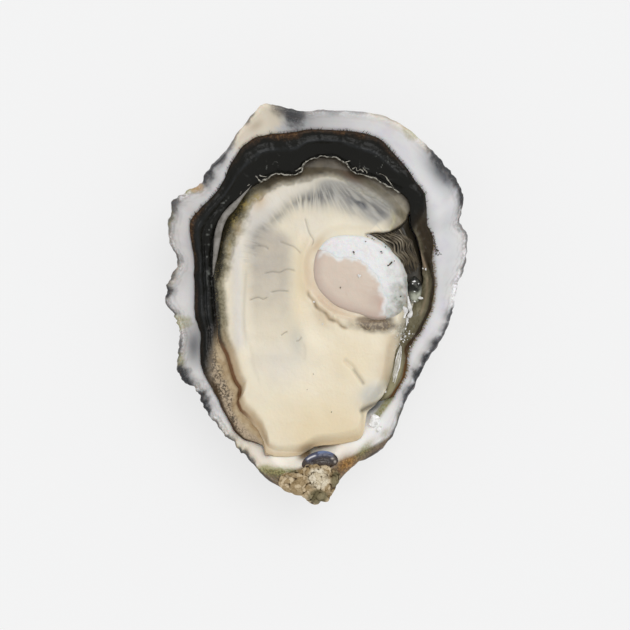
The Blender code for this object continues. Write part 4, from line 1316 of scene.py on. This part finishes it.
# ---------------------------------------------------------------- liquor and specks
GLINTS = (                # x, y and half width of white blobs: froth bubbles and painted wet highlights
    (22.3, 4.9, 0.34), (21.9, 4.4, 0.16), (23.2, 4.4, 0.12), (23.6, 1.2, 0.5), (22.3, 2.6, 0.16),
    (24.9, 7.7, 0.3), (24.3, 7.9, 0.2), (15.7, -20.2, 0.36), (-0.5, 0.3, 0.24), (1.5, -4.7, 0.26),
    (0.9, -3.7, 0.18), (9.7, 6.2, 0.4), (21.2, -6.9, 0.34), (20.3, -7.5, 0.3), (19.3, -8.2, 0.26),
    (19.0, -9.3, 0.22), (21.9, -7.0, 0.18), (18.2, -9.6, 0.16), (17.7, -10.8, 0.14), (20.4, -5.8, 0.2),
    (22.4, 0.4, 0.22), (21.0, -0.8, 0.26), (20.2, -3.2, 0.2), (21.0, -4.4, 0.18))
FROTH = ((13.6, -27.2, 1.7), (13.1, -25.8, 0.7), (14.4, -28.6, 0.8), (12.4, -27.4, 0.5))
STRANDS = (               # half width, height over the meat, clearness, then points of each strand
    (0.55, 0.5, 0, (20.8, 1.6), (21.2, -0.6), (21.6, -2.2), (20.9, -3.6), (20.6, -5.2)),
    # The next three strands, along the lower right, carry the long wet glare there: painted highlight on a
    # milky strand.
    (0.62, 0.5, 0.8, (19.3, -9.9), (18.9, -12), (18.4, -14.5), (17.9, -16.6), (17.5, -17.9)),
    (0.15, 0.8, 0, (19.2, -9.6), (18.4, -12), (17.9, -14.5), (17.5, -16.4), (17.8, -18.2)),
    (0.17, 0.8, 0, (19.4, -9.8), (19.3, -12), (18.9, -14.4), (18.3, -16.4), (17.9, -18)),
    (0.7, 0.3, 0, (19.6, -0.6), (20.4, -1.8), (20.0, -3.4)))
BEAD_AT = (22.5, 3.2, 15.2)
BEAD_HALVES = (1.6, 2.9, 1.0)
SPECKS = (                # x, y, half width of the dark crumbs on the muscle and meat
    (8.5, 11.5, 0.22), (8.6, 11.1, 0.12), (5.5, 3.5, 0.16), (17.0, 9.1, 0.26), (16.3, 8.5, 0.2),
    (16.7, 8.8, 0.22), (17.7, 9.5, 0.12), (14.7, 11.6, 0.18), (14.9, 11.3, 0.14), (11.2, 13.9, 0.14),
    (15.7, 12.7, 0.16), (19.1, 1.5, 0.18), (12.7, 14.6, 0.16), (13.1, 14.3, 0.12), (11.7, 15.0, 0.12),
    (-0.6, -16.0, 0.1), (3.5, -24.6, 0.12), (-2.0, -19.5, 0.08))
STRAND_STEPS, SPARKLES, SHELL_DEBRIS = 48, 26, 90


def blob(name, middle, halves, seed, swell):
    clear_selection()
    bpy.ops.mesh.primitive_uv_sphere_add(segments=28, ring_count=18, radius=1)
    piece = named(name)
    ball = places(piece)
    ball = ball * (1 + swell * rough(ball.T, 0.9, 2, seed))[:, None] * halves
    shape(piece, *(ball + middle).T)
    return piece


def flesh_top(x, y):
    """Height of whatever flesh lies at a place: the muscle, the meat or the band."""
    x, y = np.array([float(x)]), np.array([float(y)])
    if off_muscle(x, y)[0][0] < -0.2:
        return muscle_height(x, y)[0] + 0.22
    within = (1 - ((x[0] - BEAD_AT[0]) / BEAD_HALVES[0]) ** 2
              - ((y[0] - BEAD_AT[1]) / BEAD_HALVES[1]) ** 2)
    if within > 0:
        return BEAD_AT[2] + BEAD_HALVES[2] * math.sqrt(within)
    bearing, distance = polar(x, y)
    inner, outer = band_inner(bearing), band_outer(bearing)
    if distance[0] < inner[0]:
        return meat_height(x, y)[0]
    return band_top(bearing, np.clip((outer - distance) / (outer - inner), 0, 1), x, y)[0]


def make_drops():
    """Liquor and froth: a dark bead by the muscle, white bubbles that also stand as painted highlights,
    milky strands and a froth patch.
    """
    bead = blob("liquor_bead", BEAD_AT, BEAD_HALVES, 91, 0.14)
    x, y, _ = (places(bead) / MM).T
    # The bead is opaque. Its dark upper part is a painted reflection, standing in for what a clear drop
    # shows by refraction.
    mark(bead, dark=smooth(y + 0.5 * lumps((x, y), 1.0, 93), 2.0, 3.0),
         pale=spots(x, y, (1, 22.2, 1.2, 0.8, 0.9), (0.9, 23.4, 2.2, 0.3, 1.0, -25)))
    white = []
    chance = np.random.default_rng(3)
    sparkles = [(chance.normal(20.4, 1.2), chance.normal(-7.6, 1.1), chance.uniform(0.06, 0.18))
                for _ in range(SPARKLES)]
    # Many of these white blobs, and all the sparkles, are painted wet highlights. The rest are froth
    # bubbles.
    for k, (x, y, half) in enumerate([*GLINTS, *sparkles]):
        halves = (half * chance.uniform(0.6, 1.1), half * chance.uniform(0.5, 0.9), half * 0.4)
        white.append(blob("bubble", (x, y, flesh_top(x, y) + 0.12), halves, 92 + k, 0.55))
    for k, (x, y, half) in enumerate(FROTH):
        white.append(blob("froth", (x, y, max(wall_at(x, y), 15.0)),
                          (half * 0.85, half, 0.3 + 0.12 * half), 120 + k, 0.2))
    for half, lift, clear, *points in STRANDS:
        path = Stroke(*points).points(STRAND_STEPS)
        thin = np.sin(math.pi * np.clip(np.linspace(0, 1, STRAND_STEPS), 0.03, 0.97)) ** 0.4
        halves = half * thin * (0.75 + 0.4 * lumps(path.T, 1.0, 90))
        z = np.maximum(meat_height(*path.T) + lift, [flesh_top(x, y) + 0.15 for x, y in path])
        white.append(tube("strand", np.column_stack([path, z]), halves, halves * 0.5, 14))
        mark(white[-1], clear=clear)
    return bead, joined("milky_froth", white)


def liquor_finishes():
    # The bead's dark layer is painted in place of a clear drop's refraction and reflection.
    clear = Finish("liquor bead", 0.08, 0.15)
    dark = clear.coat((16, 16, 15), ((clear.noise(0.9, 3), 0.5, 0.62), (66, 66, 60)))
    clear.paint((134, 136, 120), ((clear.noise(0.7, 3), 0.42, 0.58), 0.8, (84, 85, 74)),
                ("dark", 0.95, dark), ("pale", 0.8, (186, 188, 172)))
    # This white finish also paints the blobs that stand as wet highlights.
    milky = Finish("milky liquor", 0.14, 0.6)
    glassy = milky.coat((182, 178, 164), ((milky.noise(0.6, 3), 0.42, 0.6), (150, 144, 124)))
    milky.paint((240, 239, 238), ((milky.noise(0.8, 3), 0.4, 0.65), (206, 205, 200)), ("clear", glassy))
    milky.relief(milky.noise(0.5, 2), 0.1)
    return clear, milky


def make_specks():
    chance = np.random.default_rng(5)
    clear_selection()
    bpy.ops.mesh.primitive_ico_sphere_add(subdivisions=2, radius=1)
    grit = named("speck")
    where = [put(x, y, flesh_top(x, y) + 0.12, (half * 1.3, half * 0.8, half * 0.5),
                 chance.uniform(0, 180)) for x, y, half in SPECKS]
    for _ in range(SHELL_DEBRIS):       # brown debris stuck to the shell beside the gills
        y = chance.uniform(10.8, 16.6)
        x = 25.9 + 0.34 * (16.6 - y) + chance.normal(0, 0.3)
        where.append(put(x, y, wall_at(x, y) + 0.1, (chance.uniform(0.1, 0.26), 0.09, 0.1),
                         chance.uniform(0, 180)))
    return copies("dark_specks", grit, where)


def speck_finish():
    speck = Finish("dark specks", 0.5, 0.3)
    speck.paint((52, 46, 34), ((speck.noise(0.4, 2), 0.4, 0.6), (86, 80, 56)))
    return speck


# ---------------------------------------------------------------- table, light and camera
CAMERA_AT = (-0.22, -2.69, 412)


def make_stage():
    clear_selection()
    bpy.ops.mesh.primitive_plane_add(size=8, location=(0, 0, 0))
    table = named("table")
    paper = Finish("matt white paper", 0.9, 0.0, Emission_Color=(1, 1, 1, 1), Emission_Strength=0.66)
    paper.set("Base Color", (0.23, 0.23, 0.23, 1))
    paper.on(table)

    world = bpy.data.worlds.new("studio")
    bpy.context.scene.world = world
    world.use_nodes = True
    sky = world.node_tree.nodes["Background"]
    sky.inputs["Color"].default_value = (0.985, 0.99, 1.0, 1)
    sky.inputs["Strength"].default_value = 0.8

    bpy.ops.object.light_add(type="SUN", rotation=(math.radians(-20), math.radians(16), 0))
    sun = bpy.context.active_object
    sun.name = "window light"
    sun.data.energy = 0.9
    sun.data.angle = math.radians(35)

    bpy.ops.object.camera_add(location=[k * MM for k in CAMERA_AT], rotation=(0, 0, 0))
    camera = bpy.context.active_object
    camera.data.lens = 100
    camera.data.sensor_width = 36
    camera.data.clip_start = 0.01
    bpy.context.scene.camera = camera
    bpy.context.scene.view_settings.view_transform = "Standard"


shell = make_shell()
shell_finish().on(shell)
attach(shell, "root")
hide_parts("shell")

band = make_band()
band_finish().on(band)
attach(band, "root")
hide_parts("mantle_edge")

meat = make_meat()
meat_finish().on(meat)
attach(meat, "root")
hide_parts("body")

catch_meat, quick_meat = make_muscle()
for piece, look, node in zip(
        (catch_meat, quick_meat), muscle_finishes(), ("catch_muscle", "quick_muscle")):
    look.on(piece)
    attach(piece, "root")
    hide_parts(node)

lip_look, silver_look, hair_look, gill_look = small_finishes()
clear_look, milky_look = liquor_finishes()
beads, strands = make_drops()
for piece, look, node, slot in (
        (make_lip(), lip_look, None, "mantle"), (make_silver_fold(), silver_look, None, "mantle"),
        (make_fringe(), hair_look, None, "mantle"), (make_gills(), gill_look, "gills", "gills"),
        (make_ligament(), ligament_finish(), "hinge_ligament", "ligament"),
        (make_crust(), crust_finish(), None, "shell"),
        (beads, clear_look, None, "body"), (strands, milky_look, None, "body"),
        (make_specks(), speck_finish(), None, "body")):
    look.on(piece)
    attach(piece, "root")
    if node:
        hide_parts(node)

make_stage()
